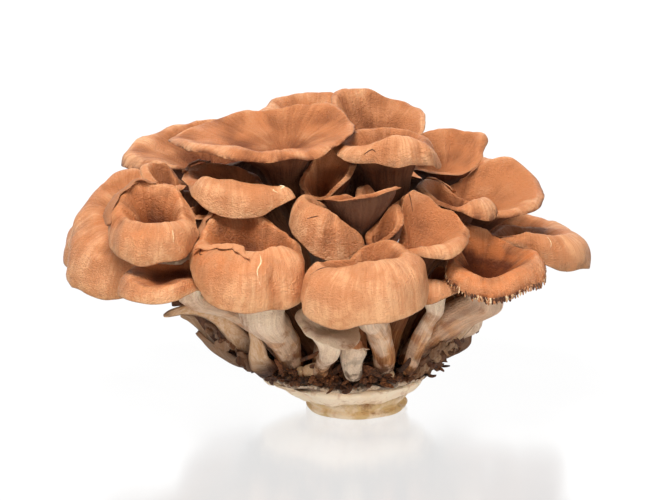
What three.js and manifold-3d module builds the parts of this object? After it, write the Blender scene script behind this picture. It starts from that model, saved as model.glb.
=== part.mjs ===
// A maitake cluster: a trimmed butt, a crust of dark litter on top of it, the fronds that rise from it, and
// the withered shoots round its foot. Millimetres, +Z up, +X to the right, +Y to the back. The origin is
// the centre of the butt's flat cut foot.
//
// A frond is one closed solid: a stem that leans out from the crust and opens into a wavy cap. Its surface
// is a stack of rings, from the stem's foot up the outside, along the pale underside to the margin, over
// the rolled crest and down the funnel to the throat. Every ring has one vertex for each compass column.
// Fronds first jostle their stems apart, and then draw in their caps wherever two of them would meet.
import * as THREE from "three";
import Module from "manifold-3d";

const wasm = await Module();
wasm.setup();

// ---- Driving dimensions ----
const FOOT_RADIUS = 17.5; // flat cut face that the cluster stands on
const COLLAR_RADIUS = 30.5; // widest part of the butt, under the crust
const COLLAR_CENTRE = [-4.5, 1]; // the butt leans, so its collar is not quite over its foot
const COLLAR_HEIGHT = 13;
const CRUST_THICKNESS = 3;
const CRUST_BUMPS = 1; // height of the crust's lumps
const CLEARANCE = 0.5; // gap kept between neighbours
const STEM_FOOT_HEIGHT = COLLAR_HEIGHT + CRUST_THICKNESS + CRUST_BUMPS + 2 * CLEARANCE;
const STEM_SPREAD = 0.4; // a stem's foot stands at this share of its cap's way out from the centre
const STEM_FOOT_LIMIT = 28; // stems' feet stay this close to the collar's centre
const COLUMNS = 16; // vertices round each ring of a frond
const MARGIN_THICKNESS = 1.7;
const FLESH_THICKNESS = 3;
const NECK_DEPTH = 5; // from the throat down to where the stem proper begins
const LEAST_LIP = 3; // the margin reaches at least this far past the crest

// ---- Colours ----
const TAN = new THREE.MeshStandardMaterial({ color: 0xb97f55, roughness: 0.62, metalness: 0 });
const CREAM = new THREE.MeshStandardMaterial({ color: 0xe9dcc6, roughness: 0.8, metalness: 0 });
const LITTER = new THREE.MeshStandardMaterial({ color: 0x3c2416, roughness: 0.95, metalness: 0 });
const WITHERED = new THREE.MeshStandardMaterial({ color: 0x8a6242, roughness: 0.8, metalness: 0 });

// ---- Fronds ----
// throat: the lowest point of the funnel. foot: where the stem stands, if not in line with the cap.
// stem: its radius at the foot and at the neck. crest, rise and roll go round the compass from the right,
// through the back, the left and the front: how far the crest stands from the throat, how high above it,
// and how far the margin turns down past it.
const FRONDS = [
  {
    name: "front_left_frond", throat: [-68.4, -30, 65], foot: [-26, 0], stem: [3.2, 5.4],
    crest: [10, 10, 10, 12, 13, 16, 15, 12],
    rise: [14, 20, 24, 23, 18, 13, 12, 13],
    roll: [5, 2, 0, 1, 6, 11, 13, 12],
  },
  {
    name: "centre_ridge_frond", throat: [-9, -25, 56], foot: [-12, -18], stem: [3.4, 4.5],
    crest: [8, 7, 7, 9, 11, 10, 7, 9],
    rise: [15, 15, 20, 26, 28, 27, 23, 17],
    roll: [6, 3, 2, 5, 14, 21, 20, 14],
  },
  {
    name: "front_middle_frond", throat: [-33, -40, 51], foot: [-23, -17], stem: [3.8, 7],
    crest: [12, 15, 12, 20, 23, 18, 10, 9],
    rise: [18, 26, 28, 28, 21, 19, 19, 20],
    roll: [6, 2, 0, 0, 10, 18, 20, 19],
  },
  {
    name: "middle_fold_frond", throat: [-50, -17, 67], foot: [-20, -3], stem: [2.4, 4],
    crest: [8, 8, 7, 7, 7, 7, 7, 7],
    rise: [10, 12, 12, 12, 11, 10, 10, 9],
    roll: [1, 0, 0, 1, 2, 2, 2, 1],
  },
  {
    name: "front_centre_frond", throat: [2.8, -45.5, 53], foot: [11, -25], stem: [3, 6],
    crest: [13, 11, 7, 7, 17, 18, 12, 15],
    rise: [16, 18, 16, 14, 13, 14, 15, 15],
    roll: [13, 8, 1, 0, 12, 19, 20, 18],
  },
  {
    name: "front_right_frond", throat: [45, -25, 52], foot: [18, -13], stem: [4.5, 6],
    crest: [17, 14, 12, 13, 8, 15, 14, 17],
    rise: [11, 12, 18, 18, 12, 9, 6, 9],
    roll: [5, 2, 0, 0, 0, 5, 8, 8],
  },
  {
    name: "middle_right_frond", throat: [19, -26, 61.5], foot: [11, -14], stem: [2.8, 4.2],
    crest: [18, 15, 10, 6, 4, 8, 11, 17],
    rise: [13, 19, 23, 17, 8, 6, 7, 9],
    roll: [3, 2, 1, 0, 0, 3, 6, 6],
  },
  {
    name: "far_left_frond", throat: [-79, -8, 71], foot: [-29, 2], stem: [3.2, 5],
    crest: [6, 8, 22, 19, 16, 17, 14, 8],
    rise: [4, 8, 15, 9, 0, -5, -6, -2],
    roll: [0, 1, 3, 9, 15, 17, 16, 8],
  },
  {
    name: "upper_left_frond", throat: [-40, -6, 80], stem: [3, 5.5],
    crest: [24, 13, 8, 12, 24, 22, 18, 25],
    rise: [7, 7, 8, 10, 10, 10, 9, 7],
    roll: [6, 1, 0, 2, 6, 11, 13, 12],
  },
  {
    name: "right_funnel_frond", throat: [38, 6, 66], stem: [3, 6],
    crest: [26, 25, 12, 12, 11, 9, 9, 20],
    rise: [12, 23, 23, 18, 13, 9, 8, 9],
    roll: [3, 4, 1, 0, 0, 1, 2, 4],
  },
  {
    name: "far_right_frond", throat: [60, 0, 57], foot: [21, 8], stem: [3, 5.5],
    crest: [19, 15, 11, 12, 15, 14, 10, 14],
    rise: [7, 7, 7, 8, 9, 10, 10, 8],
    roll: [12, 7, 3, 2, 3, 7, 10, 12],
  },
  {
    name: "top_frond", throat: [-25, 2, 93], stem: [3.2, 7],
    crest: [21, 19, 17, 24, 38, 25, 16, 18],
    rise: [10, 15, 14, 12, 7, 5, 4, 5],
    roll: [1, 0, 0, 1, 3, 4, 4, 3],
  },
  {
    name: "saddle_frond", throat: [12, -2, 89], foot: [5, 4], stem: [2.8, 6.5],
    crest: [13, 12, 11, 11, 18, 14, 10, 13],
    rise: [10, 12, 13, 13, 8, 10, 13, 12],
    roll: [7, 4, 1, 1, 3, 7, 10, 10],
  },
  {
    name: "right_shoulder_frond", throat: [33, 25, 82], stem: [2.8, 6],
    crest: [15, 16, 12, 13, 13, 15, 25, 22],
    rise: [9, 12, 14, 12, 5, 4, 4, 6],
    roll: [4, 4, 3, 1, 0, 0, 2, 3],
  },
  {
    name: "top_back_frond", throat: [4, 16, 86], stem: [2.8, 6.5],
    crest: [21, 20, 16, 15, 10, 6, 6, 10],
    rise: [15, 20, 25, 25, 19, 11, 7, 9],
    roll: [2, 2, 2, 2, 1, 0, 0, 0],
  },
  {
    name: "top_left_frond", throat: [-50, 30, 80], stem: [3, 7],
    crest: [16, 18, 17, 22, 33, 24, 16, 15],
    rise: [10, 15, 18, 15, 10, 8, 7, 8],
    roll: [0, 0, 1, 3, 7, 3, 1, 0],
  },
  {
    name: "back_crown_frond", throat: [-14, 38, 91], stem: [2.8, 7],
    crest: [18, 16, 15, 17, 18, 14, 12, 13],
    rise: [13, 15, 16, 14, 11, 9, 9, 10],
    roll: [1, 1, 3, 5, 6, 2, 0, 0],
  },
  {
    name: "small_left_frond", throat: [-65, -12, 77], foot: [-18, 10], stem: [2, 3],
    crest: [5, 6, 7, 8, 8, 7, 6, 5],
    rise: [14, 16, 17, 16, 15, 12, 11, 11],
    roll: [2, 1, 1, 2, 3, 5, 6, 4],
  },
  {
    name: "right_lip_frond", throat: [37, -7, 73], stem: [2.2, 3.2],
    crest: [9, 6, 5, 11, 17, 14, 11, 9],
    rise: [8, 9, 10, 12, 12, 9, 7, 7],
    roll: [6, 2, 0, 0, 2, 5, 8, 8],
  },
  {
    name: "inner_plate_frond", throat: [9, -13, 69], stem: [2.4, 3.2],
    crest: [12, 13, 6, 8, 8, 5, 4, 7],
    rise: [13, 20, 22, 20, 12, 5, 4, 6],
    roll: [1, 2, 1, 1, 0, 0, 0, 0],
  },
  {
    name: "inner_lip_frond", throat: [0, -20, 74], foot: [-1, -11], stem: [2.2, 3],
    crest: [13, 9, 6, 7, 12, 9, 7, 9],
    rise: [13, 11, 9, 8, 9, 9, 10, 12],
    roll: [0, 0, 0, 0, 0, 0, 0, 0],
  },
  {
    name: "inner_left_frond", throat: [-13, -8, 77], stem: [2.8, 4],
    crest: [11, 13, 8, 7, 7, 5, 4, 5],
    rise: [14, 19, 20, 18, 12, 5, 4, 5],
    roll: [0, 1, 1, 0, 0, 0, 0, 0],
  },
  {
    name: "inner_leaf_frond", throat: [6.8, -29, 64.5], foot: [9.5, -20.5], stem: [1.7, 2.2],
    crest: [8, 9, 4, 3, 2, 2, 2.5, 3.5],
    rise: [14, 20, 10, 6, 4, 4, 5, 7],
    roll: [0, 1, 0, 0, 0, 0, 0, 0],
  },
  {
    name: "low_left_frond", throat: [-57, -42, 58], foot: [-24, -6], stem: [2.6, 4],
    crest: [7, 4, 4, 5, 23, 21, 6, 8],
    rise: [4, 4, 6, 6, 5, 1, 0, 1],
    roll: [1, 0, 0, 1, 5, 6, 6, 4],
  },
  {
    name: "left_back_frond", throat: [-83, 16, 56], stem: [3, 5.5],
    crest: [12, 14, 18, 20, 15, 12, 12, 11],
    rise: [12, 14, 12, 9, 7, 6, 8, 11],
    roll: [0, 2, 8, 12, 13, 9, 3, 0],
  },
  {
    name: "small_right_frond", throat: [27, -31, 49], foot: [18, -25], stem: [2.4, 3.2],
    crest: [6, 6, 7, 6, 6, 6, 6, 7],
    rise: [7, 8, 9, 8, 8, 7, 7, 7],
    roll: [4, 2, 1, 1, 4, 7, 8, 6],
  },
  {
    name: "front_under_frond", throat: [-1, -33, 29], foot: [0, -22], stem: [2.2, 3.2],
    crest: [6, 6, 6, 6, 6, 7, 7, 6],
    rise: [7, 8, 8, 8, 8, 7, 6, 6],
    roll: [2, 1, 0, 0, 1, 3, 4, 3],
  },
  {
    name: "pale_fold_frond", throat: [-11, -44, 39], foot: [-13, -27], stem: [2.4, 3.6],
    crest: [13, 9, 6, 7, 10, 8, 8, 14],
    rise: [3, 6, 9, 9, 7, 2, 0, -1],
    roll: [0, 0, 0, 0, 1, 3, 4, 2],
  },
  {
    name: "low_right_frond", throat: [42, -8, 41], stem: [2.6, 3.6],
    crest: [8, 7, 6, 6, 6, 6, 7, 8],
    rise: [5, 7, 9, 7, 4, 3, 3, 4],
    roll: [3, 1, 0, 0, 0, 1, 2, 3],
  },
  {
    name: "back_left_frond", throat: [-66, 44, 62], stem: [3, 7],
    crest: [14, 16, 24, 27, 22, 18, 16, 14],
    rise: [16, 17, 13, 10, 10, 13, 17, 18],
    roll: [1, 5, 12, 14, 13, 7, 1, 0],
  },
  {
    name: "back_middle_left_frond", throat: [-32, 52, 70], stem: [3, 7.5],
    crest: [18, 20, 22, 20, 18, 16, 16, 16],
    rise: [15, 13, 12, 15, 18, 19, 18, 16],
    roll: [5, 10, 14, 12, 6, 1, 0, 1],
  },
  {
    name: "back_centre_frond", throat: [8, 54, 60], stem: [3, 7.5],
    crest: [20, 22, 23, 20, 18, 14, 15, 18],
    rise: [15, 14, 12, 14, 17, 20, 22, 18],
    roll: [8, 13, 15, 12, 5, 0, 0, 3],
  },
  {
    name: "back_middle_right_frond", throat: [36, 40, 70], stem: [3, 7],
    crest: [20, 24, 22, 18, 16, 14, 14, 16],
    rise: [9, 9, 11, 14, 17, 18, 15, 12],
    roll: [9, 12, 12, 8, 2, 0, 0, 3],
  },
  {
    name: "back_right_frond", throat: [55, 26, 52], stem: [3, 6],
    crest: [20, 22, 18, 14, 12, 12, 14, 18],
    rise: [8, 9, 13, 17, 16, 12, 9, 7],
    roll: [12, 13, 9, 3, 0, 1, 4, 9],
  },
  {
    name: "rear_left_frond", throat: [-46, 66, 46], stem: [3, 4.5],
    crest: [17, 18, 19, 18, 17, 13, 10, 12],
    rise: [9, 8, 7, 9, 11, 14, 14, 12],
    roll: [6, 11, 13, 11, 6, 1, 0, 1],
  },
  {
    name: "rear_centre_frond", throat: [-10, 72, 42], stem: [3, 4.5],
    crest: [19, 18, 16, 18, 18, 13, 10, 14],
    rise: [10, 8, 8, 8, 10, 13, 14, 13],
    roll: [8, 11, 12, 12, 8, 1, 0, 1],
  },
  {
    name: "rear_right_frond", throat: [28, 66, 46], stem: [3, 4.5],
    crest: [18, 20, 18, 16, 15, 12, 10, 13],
    rise: [8, 7, 8, 10, 12, 14, 14, 11],
    roll: [8, 12, 12, 8, 3, 0, 0, 2],
  },
  {
    name: "rear_far_right_frond", throat: [58, 48, 42], stem: [3, 4.5],
    crest: [17, 18, 16, 13, 12, 12, 13, 16],
    rise: [7, 6, 8, 11, 13, 12, 9, 8],
    roll: [11, 11, 8, 3, 0, 0, 2, 7],
  },
];

// ---- Withered shoots ----
// path runs from the crust to the tip. widths is the full width of the blade, read evenly along the path.
// face: where the blade's broad side looks, if not away from the middle of the cluster.
const SHOOTS = [
  {
    name: "dark_flag_shoot", thickness: 1.1, widths: [3, 5, 6, 4, 2], face: [-0.2, -1, 0.5],
    path: [[-36, -7, 18.4], [-45, -12, 33], [-51, -14.5, 41], [-57, -15.5, 43.8], [-63.5, -16, 43]],
  },
  {
    name: "long_pale_shoot", thickness: 1.5, widths: [4, 6, 7, 6.5, 4.5, 1], face: [-0.3, -1, 0.3],
    path: [
      [-31, -15, 18.4], [-36.5, -18.5, 26], [-42, -20, 33],
      [-48, -21, 39], [-57, -22, 42], [-68, -22, 39.6],
    ],
  },
  {
    name: "brown_blade_shoot", thickness: 1.2, widths: [4, 5, 5, 1.5], face: [-0.5, -1, -0.2],
    path: [[-35, -4, 18.4], [-43, -9, 27], [-50.5, -12, 34.6], [-59, -13, 38]],
  },
  {
    name: "low_dark_shoot", thickness: 1.1, widths: [3.5, 4.5, 4, 1.5], face: [-0.6, -1, -0.3],
    path: [[-35, -11, 18.4], [-40.5, -13, 20.6], [-46.5, -14, 26], [-53, -14, 31.6]],
  },
  {
    name: "pointed_shoot", thickness: 1.4, widths: [7, 8, 5, 1], face: [-0.2, -1, 0.2],
    path: [[-28, -20, 18.4], [-30, -24, 24], [-32.5, -26.5, 31], [-36.5, -27, 38]],
  },
  {
    name: "middle_shoot", thickness: 1.6, widths: [3, 6, 6, 2],
    path: [[1, -17, 18.4], [0, -18, 24], [1, -18, 30], [4, -17, 36]],
  },
  {
    name: "right_pale_shoot", thickness: 1.4, widths: [3, 5, 7, 4, 1], face: [0.3, -1, 0.1],
    path: [[24, -6, 18.4], [28, -9, 24.5], [34, -12, 30.5], [40.5, -15, 37], [46, -16, 43.5]],
  },
  {
    name: "right_dark_shoot", thickness: 1.2, widths: [5, 7, 5, 1.5], face: [0.3, -1, 0],
    path: [[24, -2, 18.4], [28, -4, 22], [32, -5, 26], [36, -5, 29]],
  },
  {
    name: "back_left_shoot", thickness: 1.2, widths: [3, 5, 5, 1],
    path: [[-24, 22, 18.4], [-29, 31, 24], [-36, 38, 29], [-46, 42, 30]],
  },
  {
    name: "back_shoot", thickness: 1.4, widths: [3, 6, 5, 1.5],
    path: [[-1, 29, 18.4], [1, 36, 22], [3, 43, 26], [6, 52, 28]],
  },
  {
    name: "back_right_shoot", thickness: 1.2, widths: [3, 5, 6, 2],
    path: [[13, 25, 18.4], [20, 33, 24], [28, 38, 28], [38, 42, 30]],
  },
];

const COMPASS = 8; // directions in crest, rise and roll

// A value given at the eight compass directions, read at any column by a closed Catmull-Rom curve.
function roundCompass(values, column) {
  const at = (column / COLUMNS) * COMPASS;
  const i = Math.floor(at);
  const t = at - i;
  const [a, b, c, d] = [-1, 0, 1, 2].map((k) => values[(i + k + COMPASS) % COMPASS]);
  return b + 0.5 * t * (c - a + t * (2 * a - 5 * b + 4 * c - d + t * (3 * (b - c) + d - a)));
}

// ---- Stems ----
// A stem is four knots: its foot on the crust, two on the way up, and the neck under the throat.
const KNOTS_AT = [0, 0.33, 0.67, 1];

function stemKnots(f) {
  const neck = new THREE.Vector3(...f.throat);
  neck.z -= NECK_DEPTH + FLESH_THICKNESS;
  const [x, y] = f.foot ?? COLLAR_CENTRE.map((c, k) => THREE.MathUtils.lerp(c, f.throat[k], STEM_SPREAD));
  const foot = new THREE.Vector3(x, y, STEM_FOOT_HEIGHT);
  const low = foot.clone().lerp(neck, 0.1).setZ(THREE.MathUtils.lerp(foot.z, neck.z, 0.4));
  const high = foot.clone().lerp(neck, 0.6).setZ(THREE.MathUtils.lerp(foot.z, neck.z, 0.85));
  const path = new THREE.CubicBezierCurve3(foot, low, high, neck);
  const [footRadius, neckRadius] = f.stem;
  return KNOTS_AT.map((t) => ({
    centre: path.getPoint(t), radius: THREE.MathUtils.lerp(footRadius, neckRadius, t),
  }));
}

// Where a stem is at a height: its centre, its radius, and the two knots that the place lies between.
function stemAt(knots, z) {
  const i = Math.max(0, Math.min(knots.length - 2, knots.findIndex((k) => k.centre.z > z) - 1));
  const t = (z - knots[i].centre.z) / (knots[i + 1].centre.z - knots[i].centre.z);
  const centre = knots[i].centre.clone().lerp(knots[i + 1].centre, t);
  const lean = knots[i + 1].centre.clone().sub(knots[i].centre).normalize();
  const across = THREE.MathUtils.lerp(knots[i].radius, knots[i + 1].radius, t);
  const radius = across / Math.sqrt(Math.abs(lean.z));
  return { centre, radius, below: i, t };
}

// Moves the knots between which a place lies, so that the place shifts by push. Necks stay put.
function shove(knots, place, push) {
  const last = knots.length - 1;
  if (place.below !== last) knots[place.below].centre.addScaledVector(push, 1 - place.t);
  if (place.below + 1 !== last) knots[place.below + 1].centre.addScaledVector(push, place.t);
  const foot = knots[0].centre;
  const out = new THREE.Vector3(foot.x - COLLAR_CENTRE[0], foot.y - COLLAR_CENTRE[1], 0);
  const over = out.length() - STEM_FOOT_LIMIT;
  if (over > 0) foot.addScaledVector(out.normalize(), -over);
}

function jostle(stems) {
  const rounds = 120;
  const steps = 7;
  for (let round = 0; round < rounds; round++) {
    stems.forEach((a, i) => stems.slice(i + 1).forEach((b) => {
      const top = Math.min(a[a.length - 1].centre.z, b[b.length - 1].centre.z);
      for (let k = 0; k <= steps; k++) {
        const z = THREE.MathUtils.lerp(STEM_FOOT_HEIGHT, top, k / steps);
        const [pa, pb] = [stemAt(a, z), stemAt(b, z)];
        const apart = pa.centre.clone().sub(pb.centre).setZ(0);
        const short = pa.radius + pb.radius + 2 * CLEARANCE - apart.length();
        if (short <= 0) continue;
        const push = apart.setLength(short / 2);
        shove(a, pa, push);
        shove(b, pb, push.clone().negate());
      }
    }));
  }
}

// ---- Caps ----
// The cap's upper surface in one column: s runs 0 at the throat, 1 at the crest, 2 at the margin.
function capTop({ crest, rise, roll, reach }, s) {
  const along = Math.min(s, 1) * reach;
  // Towards a rolled rim the wall levels off; towards a plain one it goes on rising to the margin.
  const levelling = along * along * (3 - 2 * along);
  const climb = THREE.MathUtils.lerp(along ** 1.6, levelling, Math.min(roll / 6, 1));
  const wall = new THREE.Vector2(crest * along, rise * climb);
  if (s <= 1) return wall;
  const curl = THREE.MathUtils.degToRad(THREE.MathUtils.lerp(15, 105, Math.min(roll / 9, 1)));
  const bend = Math.max(1.45 * roll, LEAST_LIP) / curl;
  const turned = curl * (s - 1);
  return wall.add(new THREE.Vector2(0.75 * bend * Math.sin(turned), -bend * (1 - Math.cos(turned))));
}

// The underside: the upper surface set back by the flesh, and widened to the stem near the throat.
function capUnder(column, s, neckRadius) {
  const step = 0.02;
  const here = capTop(column, s);
  const tangent = capTop(column, s + step).sub(capTop(column, s - step)).normalize();
  const flesh = THREE.MathUtils.lerp(FLESH_THICKNESS, MARGIN_THICKNESS, Math.min(s / 1.5, 1));
  const inner = Math.max(1 - s, 0);
  const across = Math.hypot(Math.max(here.x + tangent.y * flesh, 0.5), neckRadius * inner);
  return new THREE.Vector2(across, here.y - tangent.x * flesh - NECK_DEPTH * inner * inner);
}

// A ring of columns round a centre, square to a direction.
function tiltedRing(centre, direction, radius, columns) {
  const n = direction.clone().normalize();
  const right = new THREE.Vector3(1, 0, 0).addScaledVector(n, -n.x).normalize();
  const back = new THREE.Vector3().crossVectors(n, right);
  return Array.from({ length: columns }, (_, j) => {
    const angle = (j / columns) * 2 * Math.PI;
    return centre.clone()
      .addScaledVector(right, radius * Math.cos(angle))
      .addScaledVector(back, radius * Math.sin(angle));
  });
}

const UNDERSIDE_AT = [0.22, 0.55, 0.9, 1.5];
const TOP_AT = [2, 1.5, 1, 0.66, 0.33];

// All rings of a frond, from the foot of the stem to the throat.
function frondRings({ f, knots, reach, curl }) {
  const neckRadius = f.stem[1];
  const throat = new THREE.Vector3(...f.throat);
  const columns = Array.from({ length: COLUMNS }, (_, j) => ({
    crest: roundCompass(f.crest, j), rise: roundCompass(f.rise, j),
    roll: Math.max(roundCompass(f.roll, j), 0) * curl[j], reach: reach[j],
  }));
  const polar = (sample) => columns.map((column, j) => {
    const angle = (j / COLUMNS) * 2 * Math.PI;
    const p = sample(column);
    return new THREE.Vector3(p.x * Math.cos(angle), p.x * Math.sin(angle), p.y).add(throat);
  });
  const path = new THREE.CatmullRomCurve3(knots.map((k) => k.centre));
  const last = knots.length - 1;
  const stem = knots.map((k, i) => {
    const lean = i === 0 ? new THREE.Vector3(0, 0, 1) : path.getTangent(i / last);
    if (i === last) lean.z += 1.5;
    return tiltedRing(k.centre, lean, k.radius, COLUMNS);
  });
  return {
    start: knots[0].centre,
    rings: [
      ...stem,
      ...UNDERSIDE_AT.map((s) => polar((column) => capUnder(column, s, neckRadius))),
      ...TOP_AT.map((s) => polar((column) => capTop(column, s))),
    ],
    end: throat,
  };
}

// One closed skin over a stack of rings, with a fan of triangles at each end.
function skin({ start, rings, end }) {
  const columns = rings[0].length;
  const points = [start, ...rings.flat(), end];
  const last = points.length - 1;
  const at = (i, j) => 1 + i * columns + (j % columns);
  const faces = [];
  for (let j = 0; j < columns; j++) {
    faces.push(0, at(0, j + 1), at(0, j));
    for (let i = 0; i + 1 < rings.length; i++) {
      faces.push(at(i, j), at(i, j + 1), at(i + 1, j + 1));
      faces.push(at(i, j), at(i + 1, j + 1), at(i + 1, j));
    }
    faces.push(last, at(rings.length - 1, j), at(rings.length - 1, j + 1));
  }
  const geometry = new THREE.BufferGeometry().setFromPoints(points);
  geometry.setIndex(faces);
  geometry.computeVertexNormals();
  return geometry;
}

// Rings of a round body from its profile of radii, heights and leans; a lean of 1 puts the ring's centre
// at the collar's centre. swell(angle) makes it out of true.
function roundBody(profile, columns, swell, bump) {
  const [bottom, ...sides] = profile;
  const top = sides.pop();
  const place = ([, z, lean = 1]) => new THREE.Vector3(COLLAR_CENTRE[0] * lean, COLLAR_CENTRE[1] * lean, z);
  return {
    start: place(bottom),
    rings: sides.map((side, i) => Array.from({ length: columns }, (_, j) => {
      const angle = (j / columns) * 2 * Math.PI;
      const radius = side[0] * (1 + swell(angle));
      const point = new THREE.Vector3(radius * Math.cos(angle), radius * Math.sin(angle), 0).add(place(side));
      point.z += bump(i, point.x, point.y);
      return point;
    })),
    end: place(top),
  };
}

// Rings of a flat blade along a path.
function blade({ path, widths, thickness, face }) {
  const curve = new THREE.CatmullRomCurve3(path.map((p) => new THREE.Vector3(...p)));
  const steps = 7;
  const columns = 8;
  const rings = Array.from({ length: steps + 1 }, (_, i) => {
    const t = i / steps;
    const at = t * (widths.length - 1);
    const k = Math.min(Math.floor(at), widths.length - 2);
    const width = THREE.MathUtils.lerp(widths[k], widths[k + 1], at - k);
    const centre = curve.getPoint(t);
    const along = curve.getTangent(t);
    const outward = new THREE.Vector3(...(face ?? [centre.x, centre.y, 0]));
    const across = new THREE.Vector3().crossVectors(outward, along).normalize();
    const through = new THREE.Vector3().crossVectors(along, across);
    return Array.from({ length: columns }, (_, j) => {
      const angle = (j / columns) * 2 * Math.PI;
      return centre.clone()
        .addScaledVector(across, (width / 2) * Math.cos(angle))
        .addScaledVector(through, (thickness / 2) * Math.sin(angle));
    });
  });
  return { start: curve.getPoint(0), rings, end: curve.getPoint(1) };
}

function solidOf(geometry, swell = 0) {
  const vertProperties = geometry.getAttribute("position").array.slice();
  const normals = geometry.getAttribute("normal").array;
  vertProperties.forEach((v, i) => { vertProperties[i] = v + swell * normals[i]; });
  return new wasm.Manifold(new wasm.Mesh({
    numProp: 3, vertProperties, triVerts: new Uint32Array(geometry.index.array),
  }));
}

// ---- Drawing in ----
const RING_S = [...KNOTS_AT.map(() => 0), ...UNDERSIDE_AT, ...TOP_AT]; // how far out each ring lies

function shape(frond) {
  frond.geometry = skin(frondRings(frond));
  frond.geometry.computeBoundingBox();
  frond.solid = solidOf(frond.geometry);
  frond.swollen = solidOf(frond.geometry, CLEARANCE);
}

// The column of a frond that lies nearest to a point, and how far out on the cap that is.
function nearest(frond, point) {
  const position = frond.geometry.getAttribute("position");
  let best = Infinity;
  let found = { column: 0, out: 0 };
  const v = new THREE.Vector3();
  for (let n = 1; n + 1 < position.count; n++) {
    const d = v.fromBufferAttribute(position, n).distanceToSquared(point);
    if (d >= best) continue;
    best = d;
    found = { column: (n - 1) % COLUMNS, out: RING_S[Math.floor((n - 1) / COLUMNS)] };
  }
  return found;
}

function pull(frond, { column, out }) {
  for (const [offset, share] of [[-1, 0.5], [0, 1], [1, 0.5]]) {
    const j = (column + offset + COLUMNS) % COLUMNS;
    frond.curl[j] *= 1 - 0.06 * share;
    frond.reach[j] = Math.max(0.3, frond.reach[j] * (1 - (out > 1 ? 0.015 : 0.04) * share));
  }
}

function drawIn(fronds) {
  const rounds = 60;
  for (let round = 0; round < rounds; round++) {
    let meetings = 0;
    fronds.forEach((a, i) => fronds.slice(i + 1).forEach((b) => {
      if (!a.geometry.boundingBox.intersectsBox(b.geometry.boundingBox)) return;
      const common = a.swollen.intersect(b.solid);
      if (common.isEmpty()) return;
      meetings++;
      const { vertProperties: p, numProp } = common.getMesh();
      const touched = new Map();
      for (let n = 0; n < p.length; n += numProp) {
        const point = new THREE.Vector3(p[n], p[n + 1], p[n + 2]);
        const [onA, onB] = [nearest(a, point), nearest(b, point)];
        const [who, where] = onB.out >= 0.55 * onA.out ? [b, onB] : [a, onA];
        touched.set(who.f.name + where.column, [who, where]);
      }
      for (const [who, where] of touched.values()) pull(who, where);
      for (const who of new Set([...touched.values()].map(([w]) => w))) shape(who);
    }));
    if (!meetings) return;
  }
}

// Moves the knots of the shoots away from whatever they would touch.
function nudge(shoots, fronds) {
  const rounds = 60;
  const step = 0.15;
  const move = (shoot, point, away) => {
    const knots = shoot.path.map((p) => new THREE.Vector3(...p));
    const near = knots.map((k) => k.distanceTo(point));
    const closest = near.indexOf(Math.min(...near));
    shoot.path = knots.map((k, i) => {
      const share = step / (1 + Math.abs(i - closest));
      return [k.x + away.x * share, k.y + away.y * share, k.z];
    });
    shoot.solid = solidOf(skin(blade(shoot)), CLEARANCE);
  };
  for (const shoot of shoots) shoot.solid = solidOf(skin(blade(shoot)), CLEARANCE);
  for (let round = 0; round < rounds; round++) {
    let meetings = 0;
    shoots.forEach((shoot, i) => {
      for (const other of [...fronds, ...shoots.slice(0, i)]) {
        const common = shoot.solid.intersect(other.solid);
        if (common.isEmpty()) continue;
        meetings++;
        const { min, max } = common.boundingBox();
        const point = new THREE.Vector3(...min).add(new THREE.Vector3(...max)).multiplyScalar(0.5);
        const axis = other.knots ? stemAt(other.knots, point.z).centre : new THREE.Vector3(0, 0, point.z);
        const away = point.clone().sub(axis).normalize();
        if (away.dot(new THREE.Vector3(point.x, point.y, 0)) < 0) away.negate();
        away.z = 0;
        move(shoot, point, away);
      }
    });
    if (!meetings) return;
  }
}

const grown = FRONDS.map((f) => ({
  f, knots: stemKnots(f), reach: Array(COLUMNS).fill(1), curl: Array(COLUMNS).fill(1),
}));
jostle(grown.map((frond) => frond.knots));
grown.forEach(shape);
drawIn(grown);
nudge(SHOOTS, grown);

// ---- Butt and crust ----
const BODY_COLUMNS = 40;
const unevenly = (angle) => 0.02 * Math.sin(3 * angle + 0.6) + 0.012 * Math.sin(7 * angle);
const level = () => 0;

const butt = skin(roundBody([
  [0, 0, 0],
  [FOOT_RADIUS, 0, 0],
  [FOOT_RADIUS + 0.8, 1.4, 0],
  [FOOT_RADIUS, 3, 0.1],
  [FOOT_RADIUS + 1.6, 4.4, 0.2],
  [0.35 * FOOT_RADIUS + 0.55 * COLLAR_RADIUS, 0.55 * COLLAR_HEIGHT, 0.5],
  [0.93 * COLLAR_RADIUS, 0.82 * COLLAR_HEIGHT, 0.9],
  [COLLAR_RADIUS, 0.94 * COLLAR_HEIGHT],
  [0.97 * COLLAR_RADIUS, COLLAR_HEIGHT],
  [0, COLLAR_HEIGHT],
], BODY_COLUMNS, unevenly, level));

const CRUST_BOTTOM = COLLAR_HEIGHT + CLEARANCE;
const lumps = (i, x, y) => (i < 2 ? 0 : CRUST_BUMPS * Math.sin(0.55 * x + 1) * Math.cos(0.5 * y - 0.4));
const ragged = (angle) => unevenly(angle) + 0.03 * Math.sin(11 * angle) + 0.02 * Math.sin(17 * angle + 2);

const crust = skin(roundBody([
  [0, CRUST_BOTTOM],
  [0.86 * COLLAR_RADIUS, CRUST_BOTTOM],
  [1.03 * COLLAR_RADIUS, CRUST_BOTTOM + 0.3],
  [1.07 * COLLAR_RADIUS, CRUST_BOTTOM + 0.6 * CRUST_THICKNESS],
  [0.95 * COLLAR_RADIUS, CRUST_BOTTOM + 0.9 * CRUST_THICKNESS],
  [0.65 * COLLAR_RADIUS, CRUST_BOTTOM + CRUST_THICKNESS],
  [0.3 * COLLAR_RADIUS, CRUST_BOTTOM + CRUST_THICKNESS],
  [0, CRUST_BOTTOM + CRUST_THICKNESS],
], BODY_COLUMNS, ragged, lumps));

// ---- Assembly ----
const cluster = new THREE.Group();

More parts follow.
